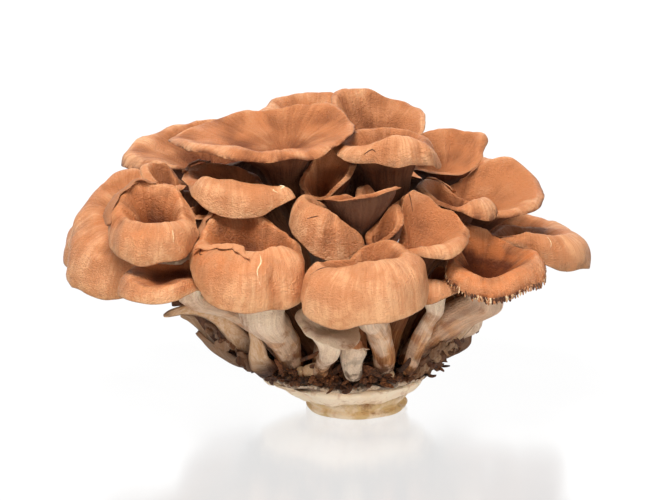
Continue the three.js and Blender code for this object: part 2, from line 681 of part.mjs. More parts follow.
function add(name, geometry, material) {
  const mesh = new THREE.Mesh(geometry, material);
  mesh.name = name;
  cluster.add(mesh);
}

add("butt", butt, CREAM);
add("litter_crust", crust, LITTER);
for (const { f, geometry } of grown) add(f.name, geometry, TAN);
for (const shoot of SHOOTS) add(shoot.name, skin(blade(shoot)), WITHERED);

export default cluster;
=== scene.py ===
import math

import bmesh
import bpy
import numpy as np
from mathutils import Euler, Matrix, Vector


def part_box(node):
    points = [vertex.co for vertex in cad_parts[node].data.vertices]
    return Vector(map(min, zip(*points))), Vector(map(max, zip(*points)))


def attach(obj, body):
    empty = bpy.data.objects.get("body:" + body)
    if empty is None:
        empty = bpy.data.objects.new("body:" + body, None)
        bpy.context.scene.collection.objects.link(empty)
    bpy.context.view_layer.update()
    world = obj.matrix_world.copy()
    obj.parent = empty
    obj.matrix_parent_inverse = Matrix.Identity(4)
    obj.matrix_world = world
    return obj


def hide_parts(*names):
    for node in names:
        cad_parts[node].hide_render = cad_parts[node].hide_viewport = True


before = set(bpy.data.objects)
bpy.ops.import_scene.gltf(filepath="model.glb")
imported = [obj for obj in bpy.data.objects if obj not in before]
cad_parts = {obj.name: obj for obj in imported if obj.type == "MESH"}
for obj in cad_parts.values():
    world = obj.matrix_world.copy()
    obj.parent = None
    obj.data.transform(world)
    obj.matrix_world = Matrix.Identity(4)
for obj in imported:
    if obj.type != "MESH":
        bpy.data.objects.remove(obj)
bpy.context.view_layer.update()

bl_info = {
    "name": "Maitake cluster",
    "version": (1, 0, 0),
    "blender": (4, 5, 0),
    "location": "3D View > Sidebar > Maitake",
    "description": "Grows the flesh, litter and stage of a maitake mushroom cluster on its packed solids",
    "category": "Mesh",
}

# ---- the fronds and how each is finished

# Rings of a frond's solid, counted from its foot: the margin, the crest of the top and the throat.
MARGIN = 8
CREST = 10
THROAT = 13
# The rings of the underside and, for each, the ring of the top that lies over it.
TWIN_UNDER = (3, 4, 5, 6, 7, 8, 13)
TWIN_TOP = (13, 12.3, 11.3, 10.15, 9, 8, 13)
# Corners round each ring of a frond, of a shoot, and of the butt and the crust.
FROND_COLUMNS = 16
SHOOT_COLUMNS = 8
ROUND_COLUMNS = 40

# Rows of faces laid between one ring and the next, from the foot's centre to the throat, and faces round.
FINE_ROWS = (1, 5, 6, 6, 6, 8, 8, 8, 8, 8, 10, 10, 10, 8)
PLAIN_ROWS = (1, 3, 4, 4, 4, 5, 5, 6, 6, 6, 7, 6, 5, 4)
FINE_SIDES = 128
PLAIN_SIDES = 96


def look(tone, bite, warm, throat_shade=0.8, pale=0.12, bare=0.0):
    """How a frond is finished.

    tone: lightness of the tan, -1 dark to 1 pale.  bite: how torn the margin is.  warm: orange in the tan.
    throat_shade: how strong the painted shade is that darkens the colour towards the throat.  pale: how
    cream the underside is, brown at 0; a low value is partly the underside's own tan and partly painted
    shade.
    bare: how much of the tan the top has lost."""
    return dict(tone=tone, bite=bite, warm=warm, throat_shade=throat_shade, pale=pale, bare=bare)


FRONT_FRONDS = {
    "front_left": look(-0.05, 0.3, 0.4, throat_shade=1.3, pale=1.0),
    "front_middle": look(0.0, 0.3, 0.45, throat_shade=1.3, pale=1.0),
    "middle_fold": look(0.0, 0.3, 0.5),
    "front_centre": look(0.1, 0.4, 0.2, throat_shade=1.1, pale=1.0),
    "centre_ridge": look(0.1, 0.3, 0.1, throat_shade=1.0, pale=1.0),
    "front_right": look(0.1, 1.0, 0.7, throat_shade=2.2, pale=0.6),
    "middle_right": look(1.0, 0.6, 0.1, throat_shade=0.55),
    "far_left": look(0.0, 0.3, 0.2, pale=1.0),
    "upper_left": look(0.15, 0.4, 0.2, throat_shade=0.8),
    "right_funnel": look(0.85, 0.8, 0.1, throat_shade=0.55),
    "far_right": look(0.2, 0.6, 0.2, throat_shade=1.0),
    "top": look(0.25, 0.8, 0.1, throat_shade=0.5),
    "saddle": look(0.1, 0.6, 0.1, throat_shade=0.5),
    "right_shoulder": look(0.7, 0.6, 0.2, throat_shade=0.5),
}
CROWN_FRONDS = {
    "top_back": look(0.1, 0.6, 0.0, throat_shade=0.5),
    "top_left": look(-0.1, 0.8, 0.0, throat_shade=0.5),
    "back_crown": look(-0.1, 0.7, 0.1, throat_shade=0.5),
    "small_left": look(-0.1, 0.6, 0.1),
    "right_lip": look(0.1, 0.7, 0.3),
    "inner_plate": look(0.0, 0.8, 0.3),
    "inner_lip": look(0.0, 0.8, 0.3, pale=0.3),
    "inner_left": look(-0.1, 0.6, 0.2),
    "inner_leaf": look(0.2, 0.8, 0.2, pale=0.4),
}
LOW_FRONDS = {
    "low_left": look(-0.35, 0.5, 0.2, pale=0.9),
    "left_back": look(-0.3, 0.5, 0.2),
    "small_right": look(0.1, 0.6, 0.2, pale=0.9),
    "front_under": look(-0.1, 0.6, 0.2, pale=0.9),
    "pale_fold": look(0.5, 0.4, 0.1, pale=1.0, bare=0.85),
    "low_right": look(-0.2, 0.7, 0.3, pale=0.9),
}
BACK_FRONDS = {
    "back_left": look(0.0, 0.5, 0.2),
    "back_middle_left": look(0.1, 0.5, 0.3),
    "back_centre": look(0.0, 0.6, 0.2),
    "back_middle_right": look(0.15, 0.5, 0.4),
    "back_right": look(0.0, 0.6, 0.3),
    "rear_left": look(-0.1, 0.6, 0.2),
    "rear_centre": look(0.1, 0.5, 0.3),
    "rear_right": look(0.0, 0.6, 0.2),
    "rear_far_right": look(-0.1, 0.6, 0.2),
}
# Each shoot and how pale its blade is, 0 brown to 1 cream.
SHOOTS = {
    "dark_flag": 0.0, "long_pale": 0.9, "brown_blade": 0.45, "low_dark": 0.25, "pointed": 0.85,
    "middle": 0.6, "right_pale": 0.8, "right_dark": 0.1, "back_left": 0.3, "back": 0.5, "back_right": 0.2,
}


def linear(red, green, blue):
    """A display colour, each part 0 to 255, as the linear colour that shaders take."""
    parts = [v / 255 for v in (red, green, blue)]
    return tuple(v / 12.92 if v <= 0.04045 else ((v + 0.055) / 1.055) ** 2.4 for v in parts)


# ---- sizes and colours a user would change

# What the lengths and the colours have in common.
LENGTH = dict(unit="LENGTH", min=0, precision=4)
FINE_LENGTH = dict(unit="LENGTH", precision=5)
PAINT = dict(subtype="COLOR", size=3, min=0, max=1)


class MaitakeSizes(bpy.types.PropertyGroup):
    """Sizes of the grown detail."""
    sway: bpy.props.FloatProperty(
        name="Sway", description="How far soft bulges and dents move the flesh",
        default=0.0018, max=0.004, **LENGTH)
    lobe: bpy.props.FloatProperty(
        name="Lobes", description="How far the lobes of a cap's margin stand out",
        default=0.0016, max=0.004, **LENGTH)
    nick: bpy.props.FloatProperty(
        name="Nicks", description="Depth of the small tears along a cap's margin",
        default=0.0016, max=0.004, **LENGTH)
    wrinkle: bpy.props.FloatProperty(
        name="Wrinkles", description="Depth of the shallow radial wrinkles on a cap",
        default=0.00016, min=0, max=0.001, **FINE_LENGTH)
    fold: bpy.props.FloatProperty(
        name="Folds", description="Depth of the folds that part the lobes of a cap",
        default=0.0013, max=0.005, **LENGTH)
    fibre: bpy.props.FloatProperty(
        name="Fibre width", description="Width of the fine fibres on a cap",
        default=0.00042, min=0.0002, max=0.004, **FINE_LENGTH)
    pore: bpy.props.FloatProperty(
        name="Pore size", description="Distance between the pores under a cap",
        default=0.0005, min=0.0002, max=0.002, **FINE_LENGTH)


class MaitakeColours(bpy.types.PropertyGroup):
    """Colours of the flesh, the litter and the floor."""
    tan: bpy.props.FloatVectorProperty(
        name="Tan", description="Top of a cap", default=linear(190, 122, 78), **PAINT)
    # Deep tan: the cap's own dark tan between the fibres and in pits, and also painted shade in the throat,
    # the folds and the dents.
    deep_tan_and_shade: bpy.props.FloatVectorProperty(
        name="Deep tan", description="Top of a cap in its throat and between the fibres",
        default=linear(96, 46, 20), **PAINT)
    # Pale tan: painted highlight on the crests of a cap that stand out, and the pale edge of a torn margin.
    pale_tan_and_highlight: bpy.props.FloatVectorProperty(
        name="Pale tan", description="Rubbed crests of a cap", default=linear(232, 178, 134), **PAINT)
    orange: bpy.props.FloatVectorProperty(
        name="Orange", description="Warm patches of a cap", default=linear(206, 112, 50), **PAINT)
    cream: bpy.props.FloatVectorProperty(
        name="Cream", description="Underside and stems", default=linear(250, 228, 202), **PAINT)
    stain: bpy.props.FloatVectorProperty(
        name="Stain", description="Brown stains on the pale flesh", default=linear(158, 100, 62), **PAINT)
    litter: bpy.props.FloatVectorProperty(
        name="Litter", description="Dark substrate between the stems", default=linear(74, 46, 30), **PAINT)
    withered: bpy.props.FloatVectorProperty(
        name="Withered", description="Dried shoots", default=linear(100, 56, 26), **PAINT)
    floor: bpy.props.FloatVectorProperty(
        name="Floor", description="Pale floor", default=(0.05, 0.0495, 0.049), **PAINT)


def sizes():
    """The sizes that the user has set."""
    return bpy.context.scene.maitake_sizes


def colours():
    """The colours that the user has set."""
    return bpy.context.scene.maitake_colours


# ---- reading the solids

def read_rings(node, columns):
    """The corners of a CAD node as an array of rings x columns x 3, from its lowest end to the other.

    The first and the last ring are the two end points, each repeated once for every column."""
    same_corner = 2e-5
    solid = bmesh.new()
    solid.from_mesh(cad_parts[node].data)
    bmesh.ops.remove_doubles(solid, verts=solid.verts, dist=same_corner)
    ends = [v for v in solid.verts if len(v.link_edges) == columns]
    if len(ends) != 2:
        raise RuntimeError(f"{node} has {len(ends)} end points, not 2")
    start, finish = sorted(ends, key=lambda v: v.co.z)
    after = {}
    for face in start.link_faces:
        turn = [v for v in face.verts]
        while turn[0] is not start:
            turn.append(turn.pop(0))
        after[turn[2]] = turn[1]
    ring = [next(iter(after))]
    while len(ring) < columns:
        ring.append(after[ring[-1]])
    seen = {start, *ring}
    rings = [[start.co.copy()] * columns]
    while True:
        rings.append([v.co.copy() for v in ring])
        step = [None] * columns
        for j, here in enumerate(ring):
            beside = ring[(j + 1) % columns]
            ahead = {e.other_vert(here) for e in here.link_edges}
            ahead &= {e.other_vert(beside) for e in beside.link_edges}
            ahead -= seen
            step[(j + 1) % columns] = ahead.pop()
        if finish in step:
            break
        ring = step
        seen.update(ring)
    rings.append([finish.co.copy()] * columns)
    solid.free()
    return np.array(rings, float)


def face_right(rings, ring):
    """The rings turned so that column 0 of the given ring lies towards +X from the far end point."""
    away = rings[ring] - rings[-1]
    angle = np.arctan2(away[:, 1], away[:, 0])
    first = int(np.argmin(np.abs(angle)))
    return np.roll(rings, -first, axis=1)


UP = np.array([0, 0, 1.0])
# The finished surface of each frond and its ring numbers, for the pieces that lie on it.
GROWN = {}


# ---- shaping

def through(points, rows, closed=False):
    """Smooth curves along the first axis of the points, with rows[k] steps after point k."""
    count = len(points)
    if closed:
        before, after = points[-1:], points[:2]
        ends = np.concatenate([before, points, after])
    else:
        half = points.shape[1] // 2
        before = np.roll(points[1:2], half, axis=1)
        after = np.roll(points[-2:-1], half, axis=1)
        ends = np.concatenate([before, points, after])
    curve = []
    for k in range(count if closed else count - 1):
        a, b, c, d = ends[k:k + 4]
        ab, bc, cd = (np.sqrt(np.linalg.norm(q - p, axis=-1, keepdims=True)) + 1e-6
                      for p, q in ((a, b), (b, c), (c, d)))
        leave = bc * ((b - a) / ab - (c - a) / (ab + bc) + (c - b) / bc)
        reach = bc * ((c - b) / bc - (d - b) / (bc + cd) + (d - c) / cd)
        for t in np.arange(rows[k]) / rows[k]:
            curve.append((2 * t**3 - 3 * t**2 + 1) * b + (t**3 - 2 * t**2 + t) * leave
                         + (3 * t**2 - 2 * t**3) * c + (t**3 - t**2) * reach)
    if not closed:
        curve.append(points[-1])
    return np.array(curve)


def refined(rings, rows, columns):
    """The rings as a fine grid: rows[k] rows after ring k, and a number of columns after each column."""
    grid = through(rings, rows).transpose(1, 0, 2)
    return through(grid, [columns] * rings.shape[1], closed=True).transpose(1, 0, 2)


def round_turn(sides):
    """Even turns once round a section, in radians."""
    return np.linspace(0, 2 * math.pi, sides, endpoint=False)


def pushed(grid, direction, amount):
    """The grid with each point moved along a direction by its own amount."""
    return grid + direction * amount[..., None]


def length_along(grid):
    """How far each row of a grid lies along the surface from the first row, for every point."""
    arc = np.cumsum(np.linalg.norm(np.diff(grid, axis=0, prepend=grid[:1]), axis=-1).mean(1))
    return arc[:, None] * np.ones(grid.shape[1])


def cloud(points, size, seed):
    """Smooth random values from -1 to 1 at the points, in bumps about one size across."""
    at = points / size + 11.7 * (seed % 13)
    cell = np.floor(at).astype(np.int64)
    part = at - cell
    ease = part * part * (3 - 2 * part)
    total = np.zeros(points.shape[:-1])
    for corner in range(8):
        step = np.array([corner >> k & 1 for k in range(3)])
        key = (cell + step) @ np.array([73856093, 19349663, 83492791]) + seed * 9176263
        key = (key ^ (key >> 13)) * 1274126177 & 0x7FFFFFFF
        value = ((key ^ (key >> 15)) & 0xFFFF) / 32767.5 - 1
        total += value * np.prod(np.where(step, ease, 1 - ease), axis=-1)
    return total


def swayed(points, amount, size, seed):
    """The points moved by one soft field that all the flesh shares, so that neighbours stay apart.

    It fades out towards the crust, where the stems stand."""
    still_below, free_above = 0.017, 0.034
    push = np.stack([cloud(points, size, seed + k) for k in range(3)], axis=-1)
    return points + amount * push * ease(points[..., 2:], still_below, free_above)


def ease(value, low, high):
    """0 below low, 1 above high, and smooth between."""
    part = np.clip((value - low) / (high - low), 0, 1)
    return part * part * (3 - 2 * part)


def normals_of(grid):
    """Outward directions of a grid of points that closes round its second axis."""
    along = np.gradient(grid, axis=0)
    around = (np.roll(grid, -1, axis=1) - np.roll(grid, 1, axis=1)) / 2
    out = np.cross(around, along)
    return out / (np.linalg.norm(out, axis=-1, keepdims=True) + 1e-12)


def soften(grid, times):
    """The grid with its small kinks relaxed; its two end rows are only evened round."""
    for _ in range(times):
        grid = (np.roll(grid, 1, axis=1) + 2 * grid + np.roll(grid, -1, axis=1)) / 4
        inner = (grid[:-2] + 2 * grid[1:-1] + grid[2:]) / 4
        grid = np.concatenate([grid[:1], inner, grid[-1:]])
    return grid


def bulge_of(grid, reach):
    """How much the surface stands out (above 0) or in (below 0) over a number of rows and columns."""
    return np.sum((grid - soften(grid, reach)) * normals_of(grid), axis=-1)


# ---- making pieces

def mesh_piece(name, points, faces, values, material, replaced=()):
    """A smooth mesh object that rides on the cluster, with a value or vector per point for its material."""
    mesh = bpy.data.meshes.new(name)
    mesh.from_pydata(points.tolist(), [], faces)
    mesh.shade_smooth()
    for key, data in values.items():
        kind = "FLOAT_VECTOR" if data.ndim == 2 else "FLOAT"
        attribute = mesh.attributes.new(key, kind, "POINT")
        attribute.data.foreach_set("vector" if data.ndim == 2 else "value",
                                   np.ascontiguousarray(data, np.float32).ravel())
    mesh.materials.append(material)
    piece = bpy.data.objects.new(name, mesh)
    bpy.context.scene.collection.objects.link(piece)
    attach(piece, "root")
    if replaced:
        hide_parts(*replaced)
    return piece


def closed_grid(grid):
    """Points and faces of a grid that closes round its second axis and ends in a point at both ends."""
    rows, columns = grid.shape[:2]
    points = np.concatenate([grid[0, :1], grid[1:-1].reshape(-1, 3), grid[-1, :1]])
    faces = []
    last = 1 + (rows - 2) * columns
    for j in range(columns):
        k = (j + 1) % columns
        faces.append((0, 1 + k, 1 + j))
        faces.append((last - columns + j, last - columns + k, last))
    for i in range(rows - 3):
        base = 1 + i * columns
        for j in range(columns):
            k = (j + 1) % columns
            faces.append((base + j, base + k, base + columns + k, base + columns + j))
    return points, faces


def per_point(values):
    """A value for each grid point as a list for the points of closed_grid."""
    if values.ndim == 3:
        return np.concatenate([values[0, :1], values[1:-1].reshape(-1, values.shape[2]), values[-1, :1]])
    return np.concatenate([values[0, :1], values[1:-1].ravel(), values[-1, :1]])


def grid_piece(name, grid, values, material, node):
    """The piece of a closed grid, with a value or vector for each grid point, that stands for a solid."""
    points, faces = closed_grid(grid)
    values = {key: per_point(value) for key, value in values.items()}
    return mesh_piece(name, points, faces, values, material, [node])


def ring_numbers(rows):
    """The ring number, with its fraction, of each row of a frond; the foot's centre is -1."""
    at = [k - 1 + t / n for k, n in enumerate(rows) for t in range(n)]
    return np.array(at + [len(rows) - 1.0])


def folds_round(turn, span, seed):
    """How deep the folds between the lobes run at each turn round a cap, 0 to about 1."""
    draw = np.random.default_rng(seed)
    depth = np.zeros_like(turn)
    for middle in draw.uniform(0, 2 * math.pi, draw.integers(3, 6)):
        apart = np.abs((turn - middle + math.pi) % (2 * math.pi) - math.pi) * span
        wide = draw.uniform(0.0022, 0.0055)
        depth += draw.uniform(0.35, 1.0) * np.exp(-(apart / wide) ** 2)
    return np.minimum(depth, 1.2)


def thin_margin(grid, number):
    """The underside drawn up towards the top near the margin, so that the cap ends in a thin edge."""
    row = np.interp(np.interp(number, TWIN_UNDER, TWIN_TOP), number, np.arange(len(number)))
    low = np.floor(row).astype(int)
    part = (row - low)[:, None, None]
    above = grid[low] * (1 - part) + grid[np.minimum(low + 1, len(number) - 1)] * part
    share = np.where(number < MARGIN, 0.66 * ease(number, 5.6, 7.6), 0)[:, None, None]
    return grid + (above - grid) * share


def frond(name, finish, rows, sides, seed):
    """One frond grown on its solid: the stem, the pale underside, the thin margin and the fibrous top."""
    node = name + "_frond"
    numbers = ring_numbers(rows)
    rings = face_right(read_rings(node, FROND_COLUMNS), MARGIN + 1)
    grid = thin_margin(soften(refined(rings, rows, sides // FROND_COLUMNS), 2), numbers)
    number = numbers[:, None] * np.ones(sides)
    turn = round_turn(sides) * np.ones((len(grid), 1))
    out = grid[np.argmin(np.abs(numbers - MARGIN))] - rings[-1, 0]
    span = np.linalg.norm(out, axis=-1).mean()
    out = out / np.linalg.norm(out, axis=-1, keepdims=True)
    around = np.stack([np.cos(turn), np.sin(turn), np.zeros_like(turn)], axis=-1) * span

    # The lobes and folds of the cap move the top and the underside together; the nicks only its margin.
    twin = np.interp(number, TWIN_UNDER, TWIN_TOP)
    near = np.exp(-((twin - MARGIN) / 1.3) ** 2)
    lobes = cloud(around, 0.009, seed) + 0.5 * cloud(around, 0.004, seed + 5)
    grid = pushed(grid, out, lobes * near * sizes().lobe * 0.7)
    grid = pushed(grid, UP, cloud(around, 0.007, seed + 2) * near * sizes().lobe * 0.6)
    fold = folds_round(turn, span, seed) * np.exp(-((twin - MARGIN - 0.9) / 1.6) ** 2)
    grid = pushed(grid, -out, fold * sizes().fold)
    edge = np.exp(-((number - MARGIN) / 0.7) ** 2)
    torn = np.clip(cloud(around, 0.0022, seed + 7) - 0.25, 0, 1)
    torn *= ease(cloud(around, 0.013, seed + 8), -0.5, 0.4) * finish["bite"]
    grid = pushed(grid, -out, torn * edge * sizes().nick)

    for share, size, field in ((1, 0.021, 3), (0.5, 0.009, 9), (0.2, 0.0045, 15)):
        grid = swayed(grid, sizes().sway * share, size, field)
    grain = np.concatenate([around[..., :2], length_along(grid)[..., None]], axis=-1)
    stretched = grain * np.array([1, 1, 0.16])
    on_top = ease(number, MARGIN + 0.2, MARGIN + 1.2)
    ridge = cloud(stretched, 0.0032, seed + 11) + 0.6 * cloud(stretched, 0.0016, seed + 12)
    furrow = -np.clip(np.abs(cloud(stretched, 0.008, seed + 13)) * -6 + 1, 0, 1)
    depth = (ridge + 1.3 * furrow) * on_top * ease(number, THROAT, THROAT - 1.2)
    grid = pushed(grid, normals_of(grid), depth * sizes().wrinkle)
    grid[0] = grid[0, 0]
    grid[-1] = grid[-1].mean(axis=0)
    GROWN[name] = (grid, numbers)

    # How deep a point lies inside the flare of the cluster, which opens upwards from the foot; it darkens
    # the stems and undersides deep inside as painted shade.
    foot_x, foot_y, foot_radius, foot_top, slope = -0.0045, 0.001, 0.030, 0.016, 0.9
    flare = foot_radius + slope * (grid[..., 2] - foot_top)
    inside = flare - np.hypot(grid[..., 0] - foot_x, grid[..., 1] - foot_y)
    values = {
        "top": ease(number, MARGIN - 0.5, MARGIN - 0.1) * (1 - finish["bare"]),
        "rim": np.exp(-((number - MARGIN - 0.15) / 0.45) ** 2),
        # painted shade: the top darkens towards the throat, as far as the finish sets it
        "hollow": ease(number, CREST + 0.2, THROAT - 0.3) * finish["throat_shade"],
        # crest: how far the surface stands out or sinks in, used for painted highlight and painted shade
        "crest": np.clip(bulge_of(grid, 24 * sides // FINE_SIDES) / 0.0008, -1, 1),
        "stem": 1 - ease(number, 0.6, 4.0),
        "foot": 1 - ease(grid[..., 2], 0.018, 0.034),
        # crease: the folds between the lobes, used for painted shade in them
        "crease": np.minimum(fold, 1) * (number > MARGIN),
        "inside": ease(inside, 0.008, 0.026),
        "grain": grain + 0.37 * seed,
    }
    for key in ("tone", "pale", "warm", "bite"):
        values[key] = np.full_like(number, finish[key])
    return grid_piece(name + "_flesh", grid, values, flesh_material(), node)


def fronds(group, rows, sides, seed):
    """Every frond of one group."""
    for k, (name, finish) in enumerate(group.items()):
        frond(name, finish, rows, sides, seed + k)


# ---- small pieces

def strip(path, broad, widths, thick, cup=0.0, sides=10, steps=5):
    """A thin leaf along a path, its broad side turned to a direction, as a closed grid.

    widths are full widths, read evenly along the path; cup raises its two long edges."""
    path = np.array(path, float)[:, None]
    centre = through(path, [steps] * (len(path) - 1))[:, 0]
    along = np.gradient(centre, axis=0)
    along /= np.linalg.norm(along, axis=1, keepdims=True) + 1e-12
    up = np.array(broad, float) - along * (along @ np.array(broad, float))[:, None]
    up /= np.linalg.norm(up, axis=1, keepdims=True) + 1e-12
    across = np.cross(up, along)
    part = np.linspace(0, 1, len(centre))
    wide = np.interp(part, np.linspace(0, 1, len(widths)), widths)[:, None, None] / 2
    turn = round_turn(sides)[None, :, None]
    cos, sin = np.cos(turn), np.sin(turn)
    flat = np.minimum(thick / 2, wide)
    grid = centre[:, None] + across[:, None] * wide * cos + up[:, None] * (flat * sin + cup * wide * cos**2)
    grid[0] = grid[0].mean(axis=0)
    grid[-1] = grid[-1].mean(axis=0)
    return grid


def lump(centre, size, draw, rows=7, sides=8):
    """A rough crumb as a closed grid; size holds its three half widths."""
    polar = np.linspace(math.pi, 0, rows)[:, None]
    turn = round_turn(sides)
    unit = np.stack([np.sin(polar) * np.cos(turn), np.sin(polar) * np.sin(turn),
                     np.cos(polar) * np.ones(sides)], axis=-1)
    rough = 1 + 0.34 * cloud(unit, 0.8, int(draw.integers(1, 9999)))
    tilt = np.array(Euler(draw.uniform(-3, 3, 3)).to_matrix())
    grid = np.array(centre) + (unit * rough[..., None] * np.array(size)) @ tilt
    grid[0] = grid[0, 0]
    grid[-1] = grid[-1, 0]
    return grid


class Pile:
    """Many small closed bodies gathered into one piece."""

    def __init__(self):
        self.points, self.faces, self.values, self.count = [], [], {}, 0

    def add(self, grid, **values):
        points, faces = closed_grid(grid)
        self.points.append(points)
        self.faces += [tuple(v + self.count for v in face) for face in faces]
        self.count += len(points)
        for key, value in values.items():
            self.values.setdefault(key, []).append(np.full(len(points), float(value)))

    def piece(self, name, material, slot):
        values = {key: np.concatenate(parts) for key, parts in self.values.items()}
        return mesh_piece(name, np.concatenate(self.points), self.faces, values, material)


def on_frond(name, number, degrees):
    """The point of a grown frond at a ring number and an angle round it, and the way out from it there."""
    grid, numbers = GROWN[name]
    row = int(np.argmin(np.abs(numbers - number)))
    column = round(degrees / 360 * grid.shape[1]) % grid.shape[1]
    outward = normals_of(grid[max(row - 1, 0):row + 2])
    return grid[row, column], outward[1, column]


# ---- node tools

class Nodes:
    """A short way to lay out a node tree."""

    def __init__(self, tree):
        self.tree = tree
        self.column = 0

    def feed(self, value, socket):
        """Links another node's output to a socket, or sets a plain value on it."""
        if isinstance(value, bpy.types.NodeSocket):
            self.tree.links.new(value, socket)
        else:
            socket.default_value = value

    def add(self, kind, inputs=None, **settings):
        node = self.tree.nodes.new(kind)
        node.location = (self.column * 60 - 1800, -(self.column % 6) * 180)
        self.column += 1
        for key, value in settings.items():
            setattr(node, key, value)
        for key, value in (inputs or {}).items():
            self.feed(value, node.inputs[key])
        return node

    def value(self, name):
        return self.add("ShaderNodeAttribute", attribute_name=name).outputs["Fac"]

    def vector(self, name):
        return self.add("ShaderNodeAttribute", attribute_name=name).outputs["Vector"]

    def place(self):
        return self.add("ShaderNodeTexCoord").outputs["Object"]

    def math(self, operation, a, b):
        return self.add("ShaderNodeMath", {0: a, 1: b}, operation=operation).outputs[0]

    def times(self, a, b):
        return self.math("MULTIPLY", a, b)

    def joined(self, operation, a, b):
        return self.add("ShaderNodeVectorMath", {0: a, 1: b}, operation=operation).outputs[0]

    def total(self, start, *terms):
        """The start plus the share of each value."""
        for value, share in terms:
            start = self.math("ADD", start, self.times(value, share))
        return start

    def mix(self, share, a, b):
        """From colour a at share 0 to colour b at share 1."""
        node = self.add("ShaderNodeMix", {0: share}, data_type="RGBA")
        for key, colour in ((6, a), (7, b)):
            linked = isinstance(colour, bpy.types.NodeSocket)
            self.feed(colour if linked else (*colour, 1.0), node.inputs[key])
        return node.outputs[2]

    def layers(self, colour, *coats):
        """The colour under coats of paint: each coat is its masks and shares, multiplied, and its paint."""
        for mask, *shares, paint in coats:
            for share in shares:
                mask = self.times(mask, share)
            colour = self.mix(mask, colour, paint)
        return colour

    def noise(self, place, scale, detail=2.0, roughness=0.5):
        return self.add("ShaderNodeTexNoise", {"Vector": place, "Scale": scale, "Detail": detail,
                                               "Roughness": roughness}).outputs["Fac"]

    def between(self, value, low, high, to_low=0.0, to_high=1.0):
        return self.add("ShaderNodeMapRange", {"Value": value, "From Min": low, "From Max": high,
                                               "To Min": to_low, "To Max": to_high},
                        interpolation_type="SMOOTHSTEP").outputs["Result"]

    def span(self, value, to_low, to_high):
        return self.between(value, 0.0, 1.0, to_low, to_high)

    def strands(self, outer, inner, share, width, stretch):
        """Fibres that are as wide near the throat as they are at the margin: a mask and a height."""
        both = [self.group(fibre_group(), Grain=grain, Width=width, Stretch=stretch)
                for grain in (outer, inner)]
        return [self.add("ShaderNodeMix", {0: share, 2: a, 3: b}).outputs[0] for a, b in zip(*both)]

    def group(self, tree, **inputs):
        """A shared effect placed with its own values: its one output, or all of them in order."""
        outputs = list(self.add("ShaderNodeGroup", inputs, node_tree=tree).outputs)
        return outputs if len(outputs) > 1 else outputs[0]

    def surface(self, colour, roughness, height, strength, depth, specular, soft=None):
        """The skin of a material: a Principled shader with a bump of the given strength and depth.

        soft is how much light goes into the flesh, how far each colour of it goes, and the scale of that."""
        bump = self.add("ShaderNodeBump", {"Height": height, "Strength": strength, "Distance": depth})
        skin = self.add("ShaderNodeBsdfPrincipled", {"Base Color": colour, "Roughness": roughness,
                                                     "Normal": bump.outputs[0]})
        skin.inputs["Specular IOR Level"].default_value = specular
        if soft:
            for key, value in zip(("Weight", "Radius", "Scale"), soft):
                skin.inputs["Subsurface " + key].default_value = value
        self.add("ShaderNodeOutputMaterial", {"Surface": skin.outputs[0]})
        return skin


def effect(name, inputs, *outputs):
    """Turns a function that lays out an effect into one that hands out its node group, made once.

    inputs gives the default of each input, None for a vector; the function returns the outputs in order."""
    def wrap(build):
        def tree_of():
            tree = bpy.data.node_groups.get(name)
            if tree is None:
                tree = bpy.data.node_groups.new(name, "ShaderNodeTree")
                for label, default in inputs.items():
                    kind = "NodeSocketVector" if default is None else "NodeSocketFloat"
                    socket = tree.interface.new_socket(label, in_out="INPUT", socket_type=kind)
                    if default is not None:
                        socket.default_value = default
                for label in outputs:
                    tree.interface.new_socket(label, in_out="OUTPUT", socket_type="NodeSocketFloat")
                n = Nodes(tree)
                n.add("NodeGroupOutput", dict(zip(outputs, build(n, n.add("NodeGroupInput").outputs))))
            return tree
        return tree_of
    return wrap


def coating(name):
    """Turns a function that lays out a material into one that hands out that material, made once."""
    def wrap(build):
        def material_of():
            material = bpy.data.materials.get(name)
            if material is None:
                material = bpy.data.materials.new(name)
                material.use_nodes = True
                material.node_tree.nodes.clear()
                build(Nodes(material.node_tree), colours())
            return material
        return material_of
    return wrap


# ---- effects that several finishes share

@effect("fibres", {"Grain": None, "Width": 0.0009, "Stretch": 0.08}, "Mask", "Height")
def fibre_group(n, given):
    """Fine fibres that run along the grain: a light and dark mask and a height."""
    squeeze = n.add("ShaderNodeCombineXYZ", {0: 1.0, 1: 1.0, 2: given["Stretch"]}).outputs[0]
    along = n.joined("MULTIPLY", given["Grain"], squeeze)
    scale = n.math("DIVIDE", 1.0, given["Width"])
    wide = n.noise(along, n.times(scale, 0.3), detail=3.0, roughness=0.6)
    thin = n.noise(along, scale, detail=3.0, roughness=0.6)
    both = n.total(0.0, (wide, 0.55), (thin, 0.45))
    return n.between(both, 0.36, 0.64), n.total(thin, (wide, 0.8))


@effect("mottle", {"Size": 0.012}, "Mask", "Fine")
def mottle_group(n, given):
    """Soft blotches of two sizes."""
    scale = n.math("DIVIDE", 1.0, given["Size"])
    big = n.noise(n.place(), scale, detail=4.0, roughness=0.55)
    fine = n.noise(n.place(), n.times(scale, 7.0), detail=3.0, roughness=0.6)
    return n.between(big, 0.38, 0.62), n.between(fine, 0.35, 0.65)


@effect("stains", {"Size": 0.008, "Amount": 0.4}, "Mask")
def stain_group(n, given):
    """Scattered stains with ragged borders."""
    scale = n.math("DIVIDE", 1.0, given["Size"])
    spots = n.noise(n.place(), scale, detail=5.0, roughness=0.62)
    low = n.total(0.72, (given["Amount"], -0.4))
    return [n.between(spots, low, n.math("ADD", low, 0.14))]


@effect("pores", {"Size": 0.0005}, "Height", "Mask")
def pore_group(n, given):
    """Small round pores: a height and a dark mask."""
    scale = n.math("DIVIDE", 1.0, given["Size"])
    away = n.add("ShaderNodeTexVoronoi", {"Vector": n.place(), "Scale": scale}).outputs["Distance"]
    return n.between(away, 0.1, 0.5), n.between(away, 0.45, 0.1)


# ---- finishes

